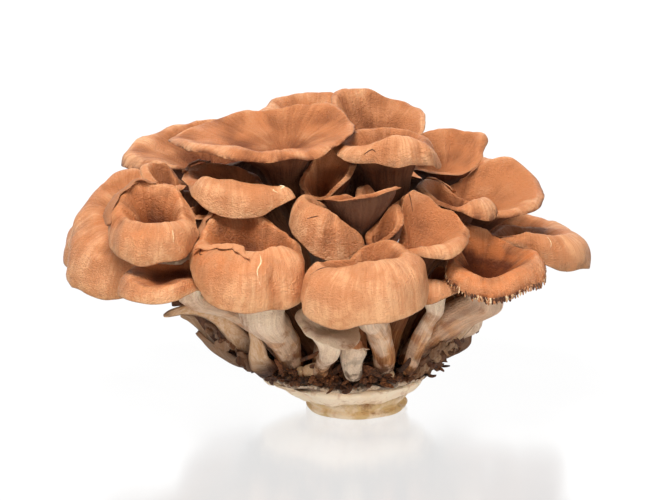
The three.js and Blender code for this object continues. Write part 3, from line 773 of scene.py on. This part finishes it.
@coating("frond_skin")
def flesh_material(n, shade):
    """Tan fibrous top and cream, pored, stained underside and stem."""
    top, rim, hollow, crest, foot = map(n.value, ("top", "rim", "hollow", "crest", "foot"))
    tone, warm, bite, crease, inside = map(n.value, ("tone", "warm", "bite", "crease", "inside"))
    outer = n.vector("grain")
    inner = n.joined("MULTIPLY", outer, (0.42, 0.42, 1.0))
    near_throat = n.between(hollow, 0.05, 0.6)
    fibres, fibre_height = n.strands(outer, inner, near_throat, sizes().fibre, 0.13)
    streaks, streak_height = n.strands(outer, inner, near_throat, sizes().fibre * 5, 0.3)
    mottle, _ = n.group(mottle_group(), Size=0.014)
    blotch, blotch_grit = n.group(mottle_group(), Size=0.007)
    specks, speck_grit = n.group(mottle_group(), Size=0.0035)
    pits = n.group(stain_group(), Size=0.0016, Amount=0.22)
    stains = n.group(stain_group(), Size=0.009, Amount=0.45)
    pore_height, pores = n.group(pore_group(), Size=sizes().pore)

    # What deepens the tan: each value, what it usually is, and its share. The fibres, streaks, blotches,
    # mottle, specks and tone are the cap's own colour; hollow and crease add painted shade in the throat and
    # the folds, and crest adds painted highlight where the surface stands out and painted shade in dents.
    parts = ((fibres, 0.68, -0.24), (streaks, 0.55, -0.12), (blotch, 0.5, -0.16), (hollow, 0.0, 0.92),
             (crease, 0.0, 0.3), (mottle, 0.66, -0.36), (specks, 0.5, 0.18), (tone, 0.0, -0.35),
             (crest, 0.0, -0.42))
    deep = n.total(-sum(usual * share for _, usual, share in parts),
                   *((value, share) for value, _, share in parts))
    torn = n.between(bite, 0.35, 0.75)
    tan = n.layers(
        n.mix(deep, shade.tan, shade.deep_tan_and_shade),
        # painted highlight: pale tan on the crests that stand out
        (n.between(crest, -0.15, 0.8), n.between(fibres, 0.1, 0.9, 0.35, 0.8),
         n.between(mottle, 0.1, 0.9, 0.25, 1.0), shade.pale_tan_and_highlight),
        (blotch, warm, 0.7, shade.orange),
        (pits, 0.34, shade.deep_tan_and_shade),
        # painted shade: the throat darkened further towards near-black brown
        (hollow, 0.5, linear(84, 34, 8)),
        (rim, n.between(specks, 0.2, 0.8, 0.3, 1.0), n.between(bite, 0.35, 0.75, 0.5, 0.9),
         n.mix(torn, shade.pale_tan_and_highlight, shade.deep_tan_and_shade)))
    under = n.layers(
        shade.cream,
        (stains, n.span(fibres, 0.75, 0.4), shade.stain),
        (pores, 0.2, shade.stain),
        (n.math("SUBTRACT", 1.0, streaks), 0.28, shade.stain),
        # brown underside where pale is low: partly the underside's own tan, partly painted shade on crown
        # fronds whose undersides lie in shade
        (n.span(n.value("pale"), 0.9, 0.0), n.mix(streaks, linear(112, 54, 24), linear(190, 118, 70))),
        (n.value("stem"), n.span(blotch, 0.45, 1.0),
         n.mix(streaks, linear(158, 90, 44), linear(224, 160, 102))),
        # painted shade: stems and undersides deep inside the cluster are darkened
        (inside, 0.72, linear(66, 28, 8)),
        (foot, n.span(specks, 0.25, 0.95), shade.litter))

    rough = n.total(n.span(fibres, 0.84, 0.7), (top, -0.34), (hollow, 0.28))
    height = n.total(0.0, (fibre_height, n.span(top, 0.35, 0.8)), (pore_height, n.span(top, 0.5, 0.0)),
                     (streak_height, 0.9), (speck_grit, 0.6), (blotch_grit, 0.8))
    n.surface(n.mix(top, under, tan), rough, height, strength=0.6, depth=0.0005, specular=0.2,
              soft=(0.1, (1.0, 0.45, 0.2), 0.0025))


@coating("butt_skin")
def butt_material(n, shade):
    """Cream cut flesh with yellow-brown stains in its groove."""
    mottle, grit = n.group(mottle_group(), Size=0.009)
    stains = n.group(stain_group(), Size=0.007, Amount=0.4)
    blush = n.group(stain_group(), Size=0.015, Amount=0.3)
    pore_height, _ = n.group(pore_group(), Size=sizes().pore * 1.6)
    drip = n.add("ShaderNodeMapping", {"Vector": n.place(), "Scale": (1.0, 1.0, 0.35)}).outputs[0]
    runs = n.between(n.noise(drip, scale=260.0, detail=4.0, roughness=0.6), 0.52, 0.66)
    colour = n.layers(
        linear(255, 234, 206),
        (mottle, 0.3, linear(244, 204, 160)),
        (blush, 0.35, linear(240, 186, 160)),
        (stains, 0.4, linear(210, 158, 104)),
        (n.value("groove"), n.span(grit, 0.6, 1.0), linear(122, 76, 30)),
        (runs, 0.4, linear(186, 128, 84)),
        (n.value("foot"), n.between(mottle, 0.1, 0.9, 0.3, 0.9),
         n.mix(stains, linear(214, 178, 120), linear(158, 112, 52))))
    height = n.total(0.0, (grit, 0.8), (pore_height, 0.3))
    n.surface(colour, n.span(grit, 0.55, 0.72), height, strength=0.5, depth=0.0006, specular=0.35,
              soft=(0.1, (1.0, 0.6, 0.35), 0.002))


@coating("litter_crumb")
def litter_material(n, shade):
    """Dark crumbled substrate, browner crumbs, and pale flesh where the collar shows at its rim."""
    mottle, grit = n.group(mottle_group(), Size=0.005)
    flakes = n.group(stain_group(), Size=0.0022, Amount=0.35)
    rust = n.group(stain_group(), Size=0.006, Amount=0.55)
    colour = n.layers(
        [0.25 * v for v in shade.litter],
        (mottle, shade.litter),
        (rust, 0.6, linear(150, 88, 48)),
        (flakes, 0.5, linear(190, 140, 96)),
        (n.value("brown"), n.mix(grit, linear(104, 60, 34), linear(196, 130, 82))),
        (n.value("collar"), n.between(mottle, 0.35, 0.65, 1.0, 0.3),
         n.mix(grit, linear(214, 176, 140), linear(240, 222, 198))))
    height = n.total(grit, (flakes, 0.5))
    n.surface(colour, n.span(grit, 0.55, 0.85), height, strength=0.8, depth=0.0009, specular=0.4)


@coating("withered_skin")
def withered_material(n, shade):
    """Shrivelled shoots, brown and streaked, paler at some tips."""
    grain = n.joined("ADD", n.vector("grain"), n.place())
    fibres, fibre_height = n.group(fibre_group(), Grain=grain, Width=sizes().fibre * 1.3, Stretch=0.1)
    mottle, grit = n.group(mottle_group(), Size=0.006)
    colour = n.layers(
        linear(46, 25, 13),
        (fibres, 0.6, shade.withered),
        (mottle, 0.25, linear(160, 104, 60)),
        (n.value("pale"), n.layers(linear(208, 160, 112), (fibres, 0.55, shade.cream))))
    height = n.total(fibre_height, (grit, 0.4))
    n.surface(colour, n.span(fibres, 0.62, 0.45), height, strength=0.6, depth=0.0005, specular=0.4,
              soft=(0.05, (1.0, 0.5, 0.25), 0.002))


@coating("torn_skin")
def torn_material(n, shade):
    """Flesh laid bare by a tear: cream where fresh, tan where dried, dark in a crack."""
    _, grit = n.group(mottle_group(), Size=0.003)
    stains = n.group(stain_group(), Size=0.002, Amount=0.45)
    pale = n.value("pale")
    colour = n.layers(
        linear(70, 34, 14),
        (n.between(pale, 0.0, 0.3), linear(196, 132, 88)),
        (n.between(pale, 0.3, 0.8), n.mix(grit, linear(232, 196, 140), linear(248, 228, 196))),
        (stains, 0.35, shade.stain))
    n.surface(colour, n.span(grit, 0.5, 0.7), grit, strength=0.5, depth=0.0003, specular=0.35,
              soft=(0.1, (1.0, 0.5, 0.25), 0.0015))


@coating("floor_board")
def floor_material(n, shade):
    """Pale glossy board that throws back a faint image of the butt."""
    haze = n.noise(n.place(), scale=30.0)
    colour = n.layers(shade.floor, (haze, 0.06, (0.09, 0.089, 0.088)))
    board = n.surface(colour, n.span(haze, 0.14, 0.2), haze, strength=0.02, depth=0.0002, specular=0.85)
    board.inputs["Emission Color"].default_value = (1, 1, 1, 1)
    seen = n.add("ShaderNodeLightPath").outputs["Is Camera Ray"]
    n.feed(n.span(seen, 0.6, 0.68), board.inputs["Emission Strength"])


# ---- the round pieces at the foot

def butt_piece():
    """The cut butt: a lumpy cone with a stained groove above its foot."""
    groove_height, groove_width, groove_depth = 0.0054, 0.0011, 0.0013
    lump_height, crack_depth = 0.0015, 0.0005
    rings = face_right(read_rings("butt", ROUND_COLUMNS), 2)
    grid = soften(refined(rings, [4] + [10] * (len(rings) - 3) + [4], 4), 1)
    low = grid[..., 2]
    side = ease(low, 0.0004, 0.002)
    groove_at = groove_height + 0.0013 * (grid[..., 0] + 0.0045) / 0.017 + 0.0010 * cloud(grid, 0.014, 41)
    groove = np.exp(-((low - groove_at) / groove_width) ** 2) * ease(cloud(grid, 0.012, 42), -0.9, 0.1)
    lumps = 0.9 * cloud(grid, 0.013, 43) + 0.5 * cloud(grid, 0.006, 44) + 0.13 * cloud(grid, 0.0018, 45)
    crack = -np.clip(1 - np.abs(cloud(grid * np.array([1, 1, 0.4]), 0.007, 47)) * 9, 0, 1)
    relief = lump_height * lumps - groove_depth * groove + crack_depth * crack
    grid = pushed(grid, normals_of(grid), side * relief)
    grid[..., 2] = np.maximum(grid[..., 2], 0)
    foot = 1 - ease(low + 0.002 * cloud(grid, 0.005, 46), 0.003, 0.009)
    return grid_piece("butt_flesh_piece", grid, {"groove": groove, "foot": foot}, butt_material(),
                      "butt")


def crust_piece():
    """The crust of litter: crumbly, dark, with a ragged rim."""
    crumb_height = 0.0011
    rings = face_right(read_rings("litter_crust", ROUND_COLUMNS), 2)
    grid = refined(rings, [12] + [10] * (len(rings) - 3) + [12], 6)
    rough = 0.6 * cloud(grid, 0.005, 51) + 0.4 * cloud(grid, 0.0022, 52) + 0.25 * cloud(grid, 0.0011, 53)
    below = grid[..., 2].max() - grid[..., 2]
    below = below + 0.0012 * cloud(grid, 0.006, 54) + 0.0007 * cloud(grid, 0.002, 55)
    collar = ease(below, 0.0011, 0.0017)
    grid = pushed(grid, normals_of(grid), crumb_height * rough * (1 - 0.6 * collar))
    grid[0] = grid[0, 0]
    grid[-1] = grid[-1, 0]
    values = {"collar": collar, "brown": np.zeros_like(collar)}
    return grid_piece("litter_crumb_bed", grid, values, litter_material(), "litter_crust")


# Dark twigs and leaf ends that stand up in front of the stems: two ends and the greatest width.
TWIGS = (
    ((-0.0200, -0.0275, 0.0246), (-0.0115, -0.0290, 0.0290), 0.0016),
    ((-0.0166, -0.0285, 0.0226), (-0.0095, -0.0300, 0.0212), 0.0018),
    ((-0.0100, -0.0285, 0.0296), (-0.0112, -0.0275, 0.0190), 0.0014),
    ((-0.0050, -0.0290, 0.0235), (-0.0125, -0.0270, 0.0185), 0.0022),
    ((0.0006, -0.0285, 0.0225), (0.0090, -0.0300, 0.0190), 0.0026),
    ((-0.0010, -0.0290, 0.0175), (0.0070, -0.0300, 0.0215), 0.0020),
    ((0.0150, -0.0265, 0.0200), (0.0195, -0.0280, 0.0260), 0.0018),
    ((-0.0260, -0.0250, 0.0180), (-0.0290, -0.0270, 0.0250), 0.0018),
)


# How many crumbs and curled scraps lie on the crust.
CRUMBS = 560
SCRAPS = 280


def litter_spread():
    """Crumbs, and curled scraps that lie on the crust and hang over its rim."""
    draw = np.random.default_rng(61)
    low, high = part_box("litter_crust")
    middle = np.array([(low[0] + high[0]) / 2, (low[1] + high[1]) / 2, high[2]])
    reach = (high[0] - low[0]) / 2
    crumbs = Pile()
    for _ in range(CRUMBS):
        angle, away = draw.uniform(0, 2 * math.pi), reach * math.sqrt(draw.uniform(0.12, 0.96))
        size = draw.uniform(0.0004, 0.0013) * draw.uniform(0.6, 1.4, 3)
        centre = middle + np.array([math.cos(angle) * away, math.sin(angle) * away, size.min() * 0.3])
        crumbs.add(lump(centre, size, draw), brown=draw.uniform(0, 1) ** 2, collar=0)
    crumbs.piece("litter_crumbs", litter_material(), "litter")

    scraps = Pile()
    for k in range(SCRAPS):
        front = k % 4 == 3
        angle = draw.normal(4.6, 0.5) if front else draw.uniform(0, 2 * math.pi)
        round_rim = k % 2 == 0
        away = reach * (draw.uniform(0.93, 1.0) if round_rim else math.sqrt(draw.uniform(0.3, 0.95)))
        out = np.array([math.cos(angle), math.sin(angle), 0])
        aside = np.cross(UP, out) * draw.uniform(-0.9, 0.9)
        long = draw.uniform(0.003, 0.0075) if front else draw.uniform(0.0016, 0.0055)
        rise = draw.uniform(-0.5, 0.5) if round_rim else draw.uniform(0.1, 0.9)
        start = middle + out * away + np.array([0, 0, -0.0004])
        heading = (out if round_rim else out * draw.uniform(-1, 1)) + aside
        bend = start + heading * long * 0.5 + np.array([0, 0, long * rise * 0.7])
        tip = start + heading * long + np.array([0, 0, long * rise * draw.uniform(-0.2, 1.2)])
        widths = np.array([0.4, 1.0, 0.8, 0.25]) * draw.uniform(0.0009, 0.0042 if front else 0.0026)
        broad = [draw.normal(0, 0.5), draw.normal(-0.4, 0.4), 1]
        scraps.add(strip([start, bend, tip], broad, widths, thick=0.00035, cup=draw.uniform(-0.7, 0.9)),
                   brown=draw.uniform(0, 1) ** (0.8 if front else 2), collar=0)
    for start, tip, width in TWIGS:
        start, tip = np.array(start), np.array(tip)
        bend = (start + tip) / 2 + draw.normal(0, 0.0006, 3)
        widths = np.array([0.5, 1, 0.9, 0.2]) * width
        scraps.add(strip([start, bend, tip], [0, -1, 0.3], widths, thick=0.0009, cup=0.3),
                   brown=draw.uniform(0, 0.25), collar=0)
    scraps.piece("litter_scraps", litter_material(), "litter")


# Lines along which withered scraps cling outside the stems: two ends, and how many there are.
SCRAP_LINES = (
    ((-0.0290, -0.0200, 0.0160), (-0.0520, -0.0190, 0.0340), 46),
    ((0.0170, -0.0200, 0.0160), (0.0380, -0.0250, 0.0310), 40),
    ((0.0260, -0.0150, 0.0160), (0.0420, -0.0080, 0.0330), 24),
    ((-0.0330, 0.0120, 0.0190), (-0.0500, 0.0200, 0.0340), 14),
    ((0.0240, 0.0120, 0.0190), (0.0400, 0.0220, 0.0330), 14),
)


def withered_scraps():
    """Dark shrivelled leaf scraps that hang along the outer sides of the foot."""
    draw = np.random.default_rng(71)
    pile = Pile()
    for first, last, count in SCRAP_LINES:
        first, last = np.array(first), np.array(last)
        out = np.array([*(last - first)[:2], 0])
        out /= np.linalg.norm(out)
        rise = (last - first) / np.linalg.norm(last - first)
        for _ in range(count):
            start = first + (last - first) * draw.uniform(-0.05, 0.9) + draw.normal(0, 0.0009, 3)
            long = draw.uniform(0.003, 0.0085)
            heading = rise * draw.uniform(0.3, 1.0) + draw.normal(0, 0.24, 3)
            droop = np.array([*(out[:2] * 0.2), -1]) * long * draw.uniform(-0.15, 0.35)
            widths = np.array([0.5, 1.0, 0.6, 0.85, 0.1]) * draw.uniform(0.0018, 0.0046)
            path = [start, start + heading * long * 0.3, start + heading * long * 0.6 + droop * 0.3,
                    start + heading * long * 0.8 + droop * 0.6, start + heading * long + droop]
            broad = draw.normal(0, 0.25, 3) + np.array([0, -1, 0.3])
            pile.add(strip(path, broad, widths, thick=0.0004, cup=draw.uniform(-0.5, 0.6)),
                     pale=0.4 * draw.uniform(0, 1) ** 3)
    pile.piece("withered_scraps", withered_material(), "withered_flesh")


def shoot(name, pale, seed):
    """One shrivelled shoot, creased along its length."""
    crease_depth, grain_radius = 0.00022, 0.004
    rings = read_rings(name + "_shoot", SHOOT_COLUMNS)
    grid = refined(rings, [2] + [8] * (len(rings) - 3) + [3], 6)
    turn = round_turn(grid.shape[1]) * np.ones((len(grid), 1))
    grain = np.stack([np.cos(turn) * grain_radius, np.sin(turn) * grain_radius, length_along(grid)], axis=-1)
    crease = cloud(grain * np.array([1, 1, 0.2]), 0.0016, seed) + cloud(grid, 0.003, seed + 1)
    grid = pushed(grid, normals_of(grid), crease_depth * crease)
    grid[0] = grid[0, 0]
    grid[-1] = grid[-1].mean(axis=0)
    rise = np.linspace(0, 1, len(grid))[:, None]
    away = np.linalg.norm(grid - grid.mean(axis=1, keepdims=True), axis=-1)
    away = away / (away.max(axis=1, keepdims=True) + 1e-9)
    edge = ease(away + 0.14 * cloud(grid, 0.0025, seed + 2), 0.72, 1.0)
    values = {"grain": grain + 0.19 * seed, "pale": pale * ease(rise, 0.1, 0.5) * (1 - 0.75 * edge)}
    return grid_piece(name + "_withered", grid, values, withered_material(),
                      name + "_shoot")


# ---- torn flesh on the fronds

def frayed_margin():
    """The frayed lip of the front right cap: short teeth that hang from its margin."""
    first, last, step = 188, 352, 0.8
    draw = np.random.default_rng(81)
    pile = Pile()
    for degrees in np.arange(first, last, step):
        here = degrees + draw.uniform(-0.7, 0.7)
        start, _ = on_frond("front_right", MARGIN + 0.35, here)
        edge, outward = on_frond("front_right", MARGIN, here)
        down = edge - start
        down /= np.linalg.norm(down) + 1e-9
        long = draw.uniform(0.0003, 0.0012)
        heading = down - 0.35 * UP + draw.normal(0, 0.16, 3)
        path = [start, edge, edge + heading * long]
        widths = np.array([0.5, 1.0, 0.8, 0.3]) * draw.uniform(0.0007, 0.0014)
        broad = outward + np.array([0, -0.3, 0.2])
        pile.add(strip(path, broad, widths, thick=0.0003, sides=8, steps=3),
                 pale=0.75 * draw.uniform(0, 1) ** 2)
    pile.piece("front_right_fray", torn_material(), "frond_flesh")


# Tears: the frond, where round it in degrees, the ring numbers it runs through, its width, how pale it is.
TEARS = (
    ("front_middle", (268, 269, 267, 270), (9.7, 9.4, 9.1, 8.8), 0.0005, 0.8),
    ("front_left", (284, 285, 284), (9.3, 9.0, 8.7), 0.0003, 0.8),
    ("upper_left", (306, 309, 305), (10.0, 9.7, 9.4), 0.0010, 0.8),
    ("upper_left", (299, 298, 300), (9.6, 9.4, 9.1), 0.0006, 0.7),
    ("far_right", (300, 303, 301), (9.7, 9.3, 9.0), 0.0003, 0.8),
    ("front_centre", (224, 218, 213), (10.2, 9.8, 9.3), 0.0005, 0.0),
    ("centre_ridge", (232, 240, 246), (9.0, 9.2, 9.3), 0.0004, 0.0),
    ("middle_right", (118, 108, 98, 90), (9.0, 9.5, 9.3, 9.8), 0.0005, 0.0),
    ("middle_right", (104, 100, 97), (9.6, 10.2, 10.8), 0.0004, 0.0),
    ("far_right", (218, 228, 240, 250), (9.6, 9.4, 9.5, 9.3), 0.0005, 0.0),
    ("saddle", (232, 240, 246), (8.8, 9.0, 8.8), 0.0004, 0.0),
    ("upper_left", (318, 326, 332), (9.0, 9.2, 9.0), 0.0004, 0.0),
    ("front_middle", (196, 204, 210), (9.3, 9.1, 9.2), 0.0004, 0.0),
)
# Lips of torn skin: the frond, the first and last degree, the ring numbers it runs through, width, how pale.
LIPS = (
    ("front_left", 202, 90, (8.7, 8.7), 0.0066, 0.17),
    ("front_middle", 168, 118, (8.7, 8.7), 0.0036, 0.17),
    ("front_middle", 192, 258, (9.0, 9.6, 10.0, 10.1, 9.8, 9.5), 0.0040, 0.34),
    ("front_right", 176, 118, (8.7, 8.7), 0.0042, 0.17),
    ("upper_left", 172, 140, (8.7, 8.7), 0.0034, 0.17),
    ("right_lip", 150, 96, (8.7, 8.7), 0.0030, 0.3),
)


def tears():
    """Cream splits and dark cracks in the caps."""
    stand_out = 0.00004
    for k, (name, degrees, numbers, width, pale) in enumerate(TEARS, 1):
        spots = [on_frond(name, number, angle) for number, angle in zip(numbers, degrees)]
        outward = sum(spot[1] for spot in spots)
        path = [point + direction * stand_out for point, direction in spots]
        widths = np.array([0.2, 1, 0.7, 0.15]) * width
        pile = Pile()
        pile.add(strip(path, outward, widths, thick=0.0004), pale=pale)
        pile.piece(f"{name}_tear_{k}", torn_material(), "frond_flesh")


def lips():
    """Curled lips of torn skin along some margins."""
    stand_out, waver, ripple = 0.0009, 0.0003, 0.00035
    draw = np.random.default_rng(91)
    taper = np.array([0.2, 0.8, 1.0, 0.7, 1.1, 0.8, 1.0, 0.5, 0.1])
    for k, (name, first, last, numbers, width, pale) in enumerate(LIPS, 1):
        path, faces = [], []
        steps = np.linspace(0, 1, len(taper))
        rows = np.interp(steps, np.linspace(0, 1, len(numbers)), numbers)
        for degrees, number in zip(np.linspace(first, last, len(taper)), rows):
            point, out = on_frond(name, number, degrees)
            path.append(point + out * stand_out + draw.normal(0, waver, 3))
            faces.append(out)
        broad = np.mean(faces, axis=0)
        grid = strip(path, broad, taper * width, thick=0.0007, cup=-0.22, sides=16, steps=8)
        grid = pushed(grid, normals_of(grid), ripple * cloud(grid, 0.0018, 92))
        pile = Pile()
        pile.add(grid, pale=pale)
        pile.piece(f"{name}_lip_{k}", torn_material(), "frond_flesh")


# Pale buds at the feet of the front stems: place and half widths.
BUDS = (
    ((-0.0150, -0.0250, 0.0192), (0.0042, 0.0034, 0.0036)),
    ((-0.0195, -0.0235, 0.0188), (0.0022, 0.0020, 0.0026)),
    ((-0.0105, -0.0250, 0.0185), (0.0013, 0.0013, 0.0018)),
    ((0.0120, -0.0245, 0.0190), (0.0016, 0.0014, 0.0024)),
    ((-0.0255, -0.0185, 0.0188), (0.0015, 0.0014, 0.0022)),
)


def buds():
    """Small pale buds that never grew."""
    draw = np.random.default_rng(97)
    pile = Pile()
    for place, size in BUDS:
        pile.add(lump(place, size, draw, rows=20, sides=24), pale=draw.uniform(0.5, 0.9))
    pile.piece("pale_buds", torn_material(), "frond_flesh")


# ---- stage

CAMERA_TARGET = Vector((-0.0099, 0, 0.0584))
CAMERA_DISTANCE = 1.2
CAMERA_RISE = math.radians(13)
CAMERA_LENS = 182.7


# Softboxes: place, width and height, power in watts and colour.
SOFTBOXES = {
    "softbox_top": ((-0.15, -0.3, 0.9), (0.4, 0.4), 12.6, (1.0, 0.98, 0.95)),
    "softbox_left": ((-0.8, -0.7, 0.55), (0.5, 0.7), 0.9, (1.0, 0.98, 0.96)),
    "softbox_right": ((0.85, -0.55, 0.5), (0.5, 0.7), 2.0, (1.0, 0.98, 0.96)),
    "softbox_low": ((0.02, -0.3, 0.012), (0.34, 0.03), 0.3, (1.0, 0.88, 0.76)),
    "softbox_back": ((0.1, 0.9, 0.6), (0.9, 0.6), 1.2, (1.0, 1.0, 1.0)),
}
LIGHTS_AIM = Vector((0, 0, 0.05))
FLOOR_RADIUS = 4.0
FLOOR_SIDES = 64


def area_light(name, place, size, power, colour):
    """A softbox that looks at the cluster."""
    light = bpy.data.lights.new(name, "AREA")
    light.shape = "RECTANGLE"
    light.size, light.size_y = size
    light.energy = power
    light.color = colour
    box = bpy.data.objects.new(name, light)
    box.location = place
    box.rotation_euler = (LIGHTS_AIM - Vector(place)).to_track_quat("-Z", "Y").to_euler()
    bpy.context.scene.collection.objects.link(box)


def stage():
    """Camera, softboxes, white surroundings and the pale floor."""
    scene = bpy.context.scene
    lens = bpy.data.cameras.new("camera")
    lens.lens = CAMERA_LENS
    lens.sensor_width = 36
    lens.clip_end = 20
    camera = bpy.data.objects.new("camera", lens)
    away = Vector((0, -math.cos(CAMERA_RISE), math.sin(CAMERA_RISE)))
    camera.location = CAMERA_TARGET + away * CAMERA_DISTANCE
    camera.rotation_euler = (-away).to_track_quat("-Z", "Y").to_euler()
    scene.collection.objects.link(camera)
    scene.camera = camera
    scene.view_settings.view_transform = "Standard"

    for name, box in SOFTBOXES.items():
        area_light(name, *box)

    world = bpy.data.worlds.new("white_room")
    world.use_nodes = True
    world.node_tree.nodes.clear()
    n = Nodes(world.node_tree)
    ray = n.add("ShaderNodeLightPath").outputs
    seen = n.math("MAXIMUM", ray["Is Camera Ray"], ray["Is Glossy Ray"])
    air = n.add("ShaderNodeBackground", {"Color": (1, 1, 1, 1), "Strength": n.span(seen, 0.08, 1.0)})
    n.add("ShaderNodeOutputWorld", {"Surface": air.outputs[0]})
    scene.world = world

    mesh = bpy.data.meshes.new("floor")
    ring = [(math.cos(a) * FLOOR_RADIUS, math.sin(a) * FLOOR_RADIUS, 0) for a in round_turn(FLOOR_SIDES)]
    mesh.from_pydata(ring, [], [tuple(range(FLOOR_SIDES))])
    mesh.materials.append(floor_material())
    floor = bpy.data.objects.new("floor", mesh)
    scene.collection.objects.link(floor)


# ---- operators

class MaitakeStage(bpy.types.Operator):
    """Set the camera, the lights and the floor."""
    bl_idname = "maitake.stage"
    bl_label = "Stage"

    def execute(self, context):
        stage()
        return {"FINISHED"}


class MaitakeButt(bpy.types.Operator):
    """Grow the cut butt."""
    bl_idname = "maitake.butt"
    bl_label = "Butt"

    def execute(self, context):
        butt_piece()
        return {"FINISHED"}


class MaitakeLitter(bpy.types.Operator):
    """Lay the crust of litter between the stems."""
    bl_idname = "maitake.litter"
    bl_label = "Litter"

    def execute(self, context):
        crust_piece()
        litter_spread()
        return {"FINISHED"}


class MaitakeFrontFronds(bpy.types.Operator):
    """Grow the large fronds of the front."""
    bl_idname = "maitake.front_fronds"
    bl_label = "Front fronds"

    def execute(self, context):
        fronds(FRONT_FRONDS, FINE_ROWS, FINE_SIDES, 100)
        return {"FINISHED"}


class MaitakeCrownFronds(bpy.types.Operator):
    """Grow the fronds of the crown and the small ones between them."""
    bl_idname = "maitake.crown_fronds"
    bl_label = "Crown fronds"

    def execute(self, context):
        fronds(CROWN_FRONDS, PLAIN_ROWS, PLAIN_SIDES, 200)
        return {"FINISHED"}


class MaitakeLowFronds(bpy.types.Operator):
    """Grow the low fronds under the front ones."""
    bl_idname = "maitake.low_fronds"
    bl_label = "Low fronds"

    def execute(self, context):
        fronds(LOW_FRONDS, PLAIN_ROWS, PLAIN_SIDES, 300)
        return {"FINISHED"}


class MaitakeBackFronds(bpy.types.Operator):
    """Grow the fronds of the back."""
    bl_idname = "maitake.back_fronds"
    bl_label = "Back fronds"

    def execute(self, context):
        fronds(BACK_FRONDS, PLAIN_ROWS, PLAIN_SIDES, 400)
        return {"FINISHED"}


class MaitakeShoots(bpy.types.Operator):
    """Grow the shrivelled shoots among the stems."""
    bl_idname = "maitake.shoots"
    bl_label = "Shoots"

    def execute(self, context):
        for k, (name, pale) in enumerate(SHOOTS.items()):
            shoot(name, pale, 500 + 3 * k)
        withered_scraps()
        return {"FINISHED"}


class MaitakeTears(bpy.types.Operator):
    """Add the frayed margin, the tears, the curled lips and the pale buds; the fronds must be there."""
    bl_idname = "maitake.tears"
    bl_label = "Tears and buds"

    def execute(self, context):
        frayed_margin()
        tears()
        lips()
        buds()
        return {"FINISHED"}


# The operators in the order in which they run.
STEPS = ("stage", "butt", "litter", "front_fronds", "crown_fronds", "low_fronds", "back_fronds", "shoots",
         "tears")


class MaitakePanel(bpy.types.Panel):
    """Steps, sizes and colours of the cluster."""
    bl_idname = "VIEW3D_PT_maitake"
    bl_label = "Maitake cluster"
    bl_space_type = "VIEW_3D"
    bl_region_type = "UI"
    bl_category = "Maitake"

    def draw(self, context):
        for step in STEPS:
            self.layout.operator("maitake." + step)
        for group in (context.scene.maitake_sizes, context.scene.maitake_colours):
            for name in group.__annotations__:
                self.layout.prop(group, name)


CLASSES = (MaitakeSizes, MaitakeColours, MaitakeStage, MaitakeButt, MaitakeLitter, MaitakeFrontFronds,
           MaitakeCrownFronds, MaitakeLowFronds, MaitakeBackFronds, MaitakeShoots, MaitakeTears,
           MaitakePanel)


def register():
    for kind in CLASSES:
        bpy.utils.register_class(kind)
    bpy.types.Scene.maitake_sizes = bpy.props.PointerProperty(type=MaitakeSizes)
    bpy.types.Scene.maitake_colours = bpy.props.PointerProperty(type=MaitakeColours)


def unregister():
    del bpy.types.Scene.maitake_sizes
    del bpy.types.Scene.maitake_colours
    for kind in reversed(CLASSES):
        bpy.utils.unregister_class(kind)


def main():
    """Registers the add-on and runs its steps in order."""
    register()
    for step in STEPS:
        getattr(bpy.ops.maitake, step)()


if __name__ == "__main__":
    main()
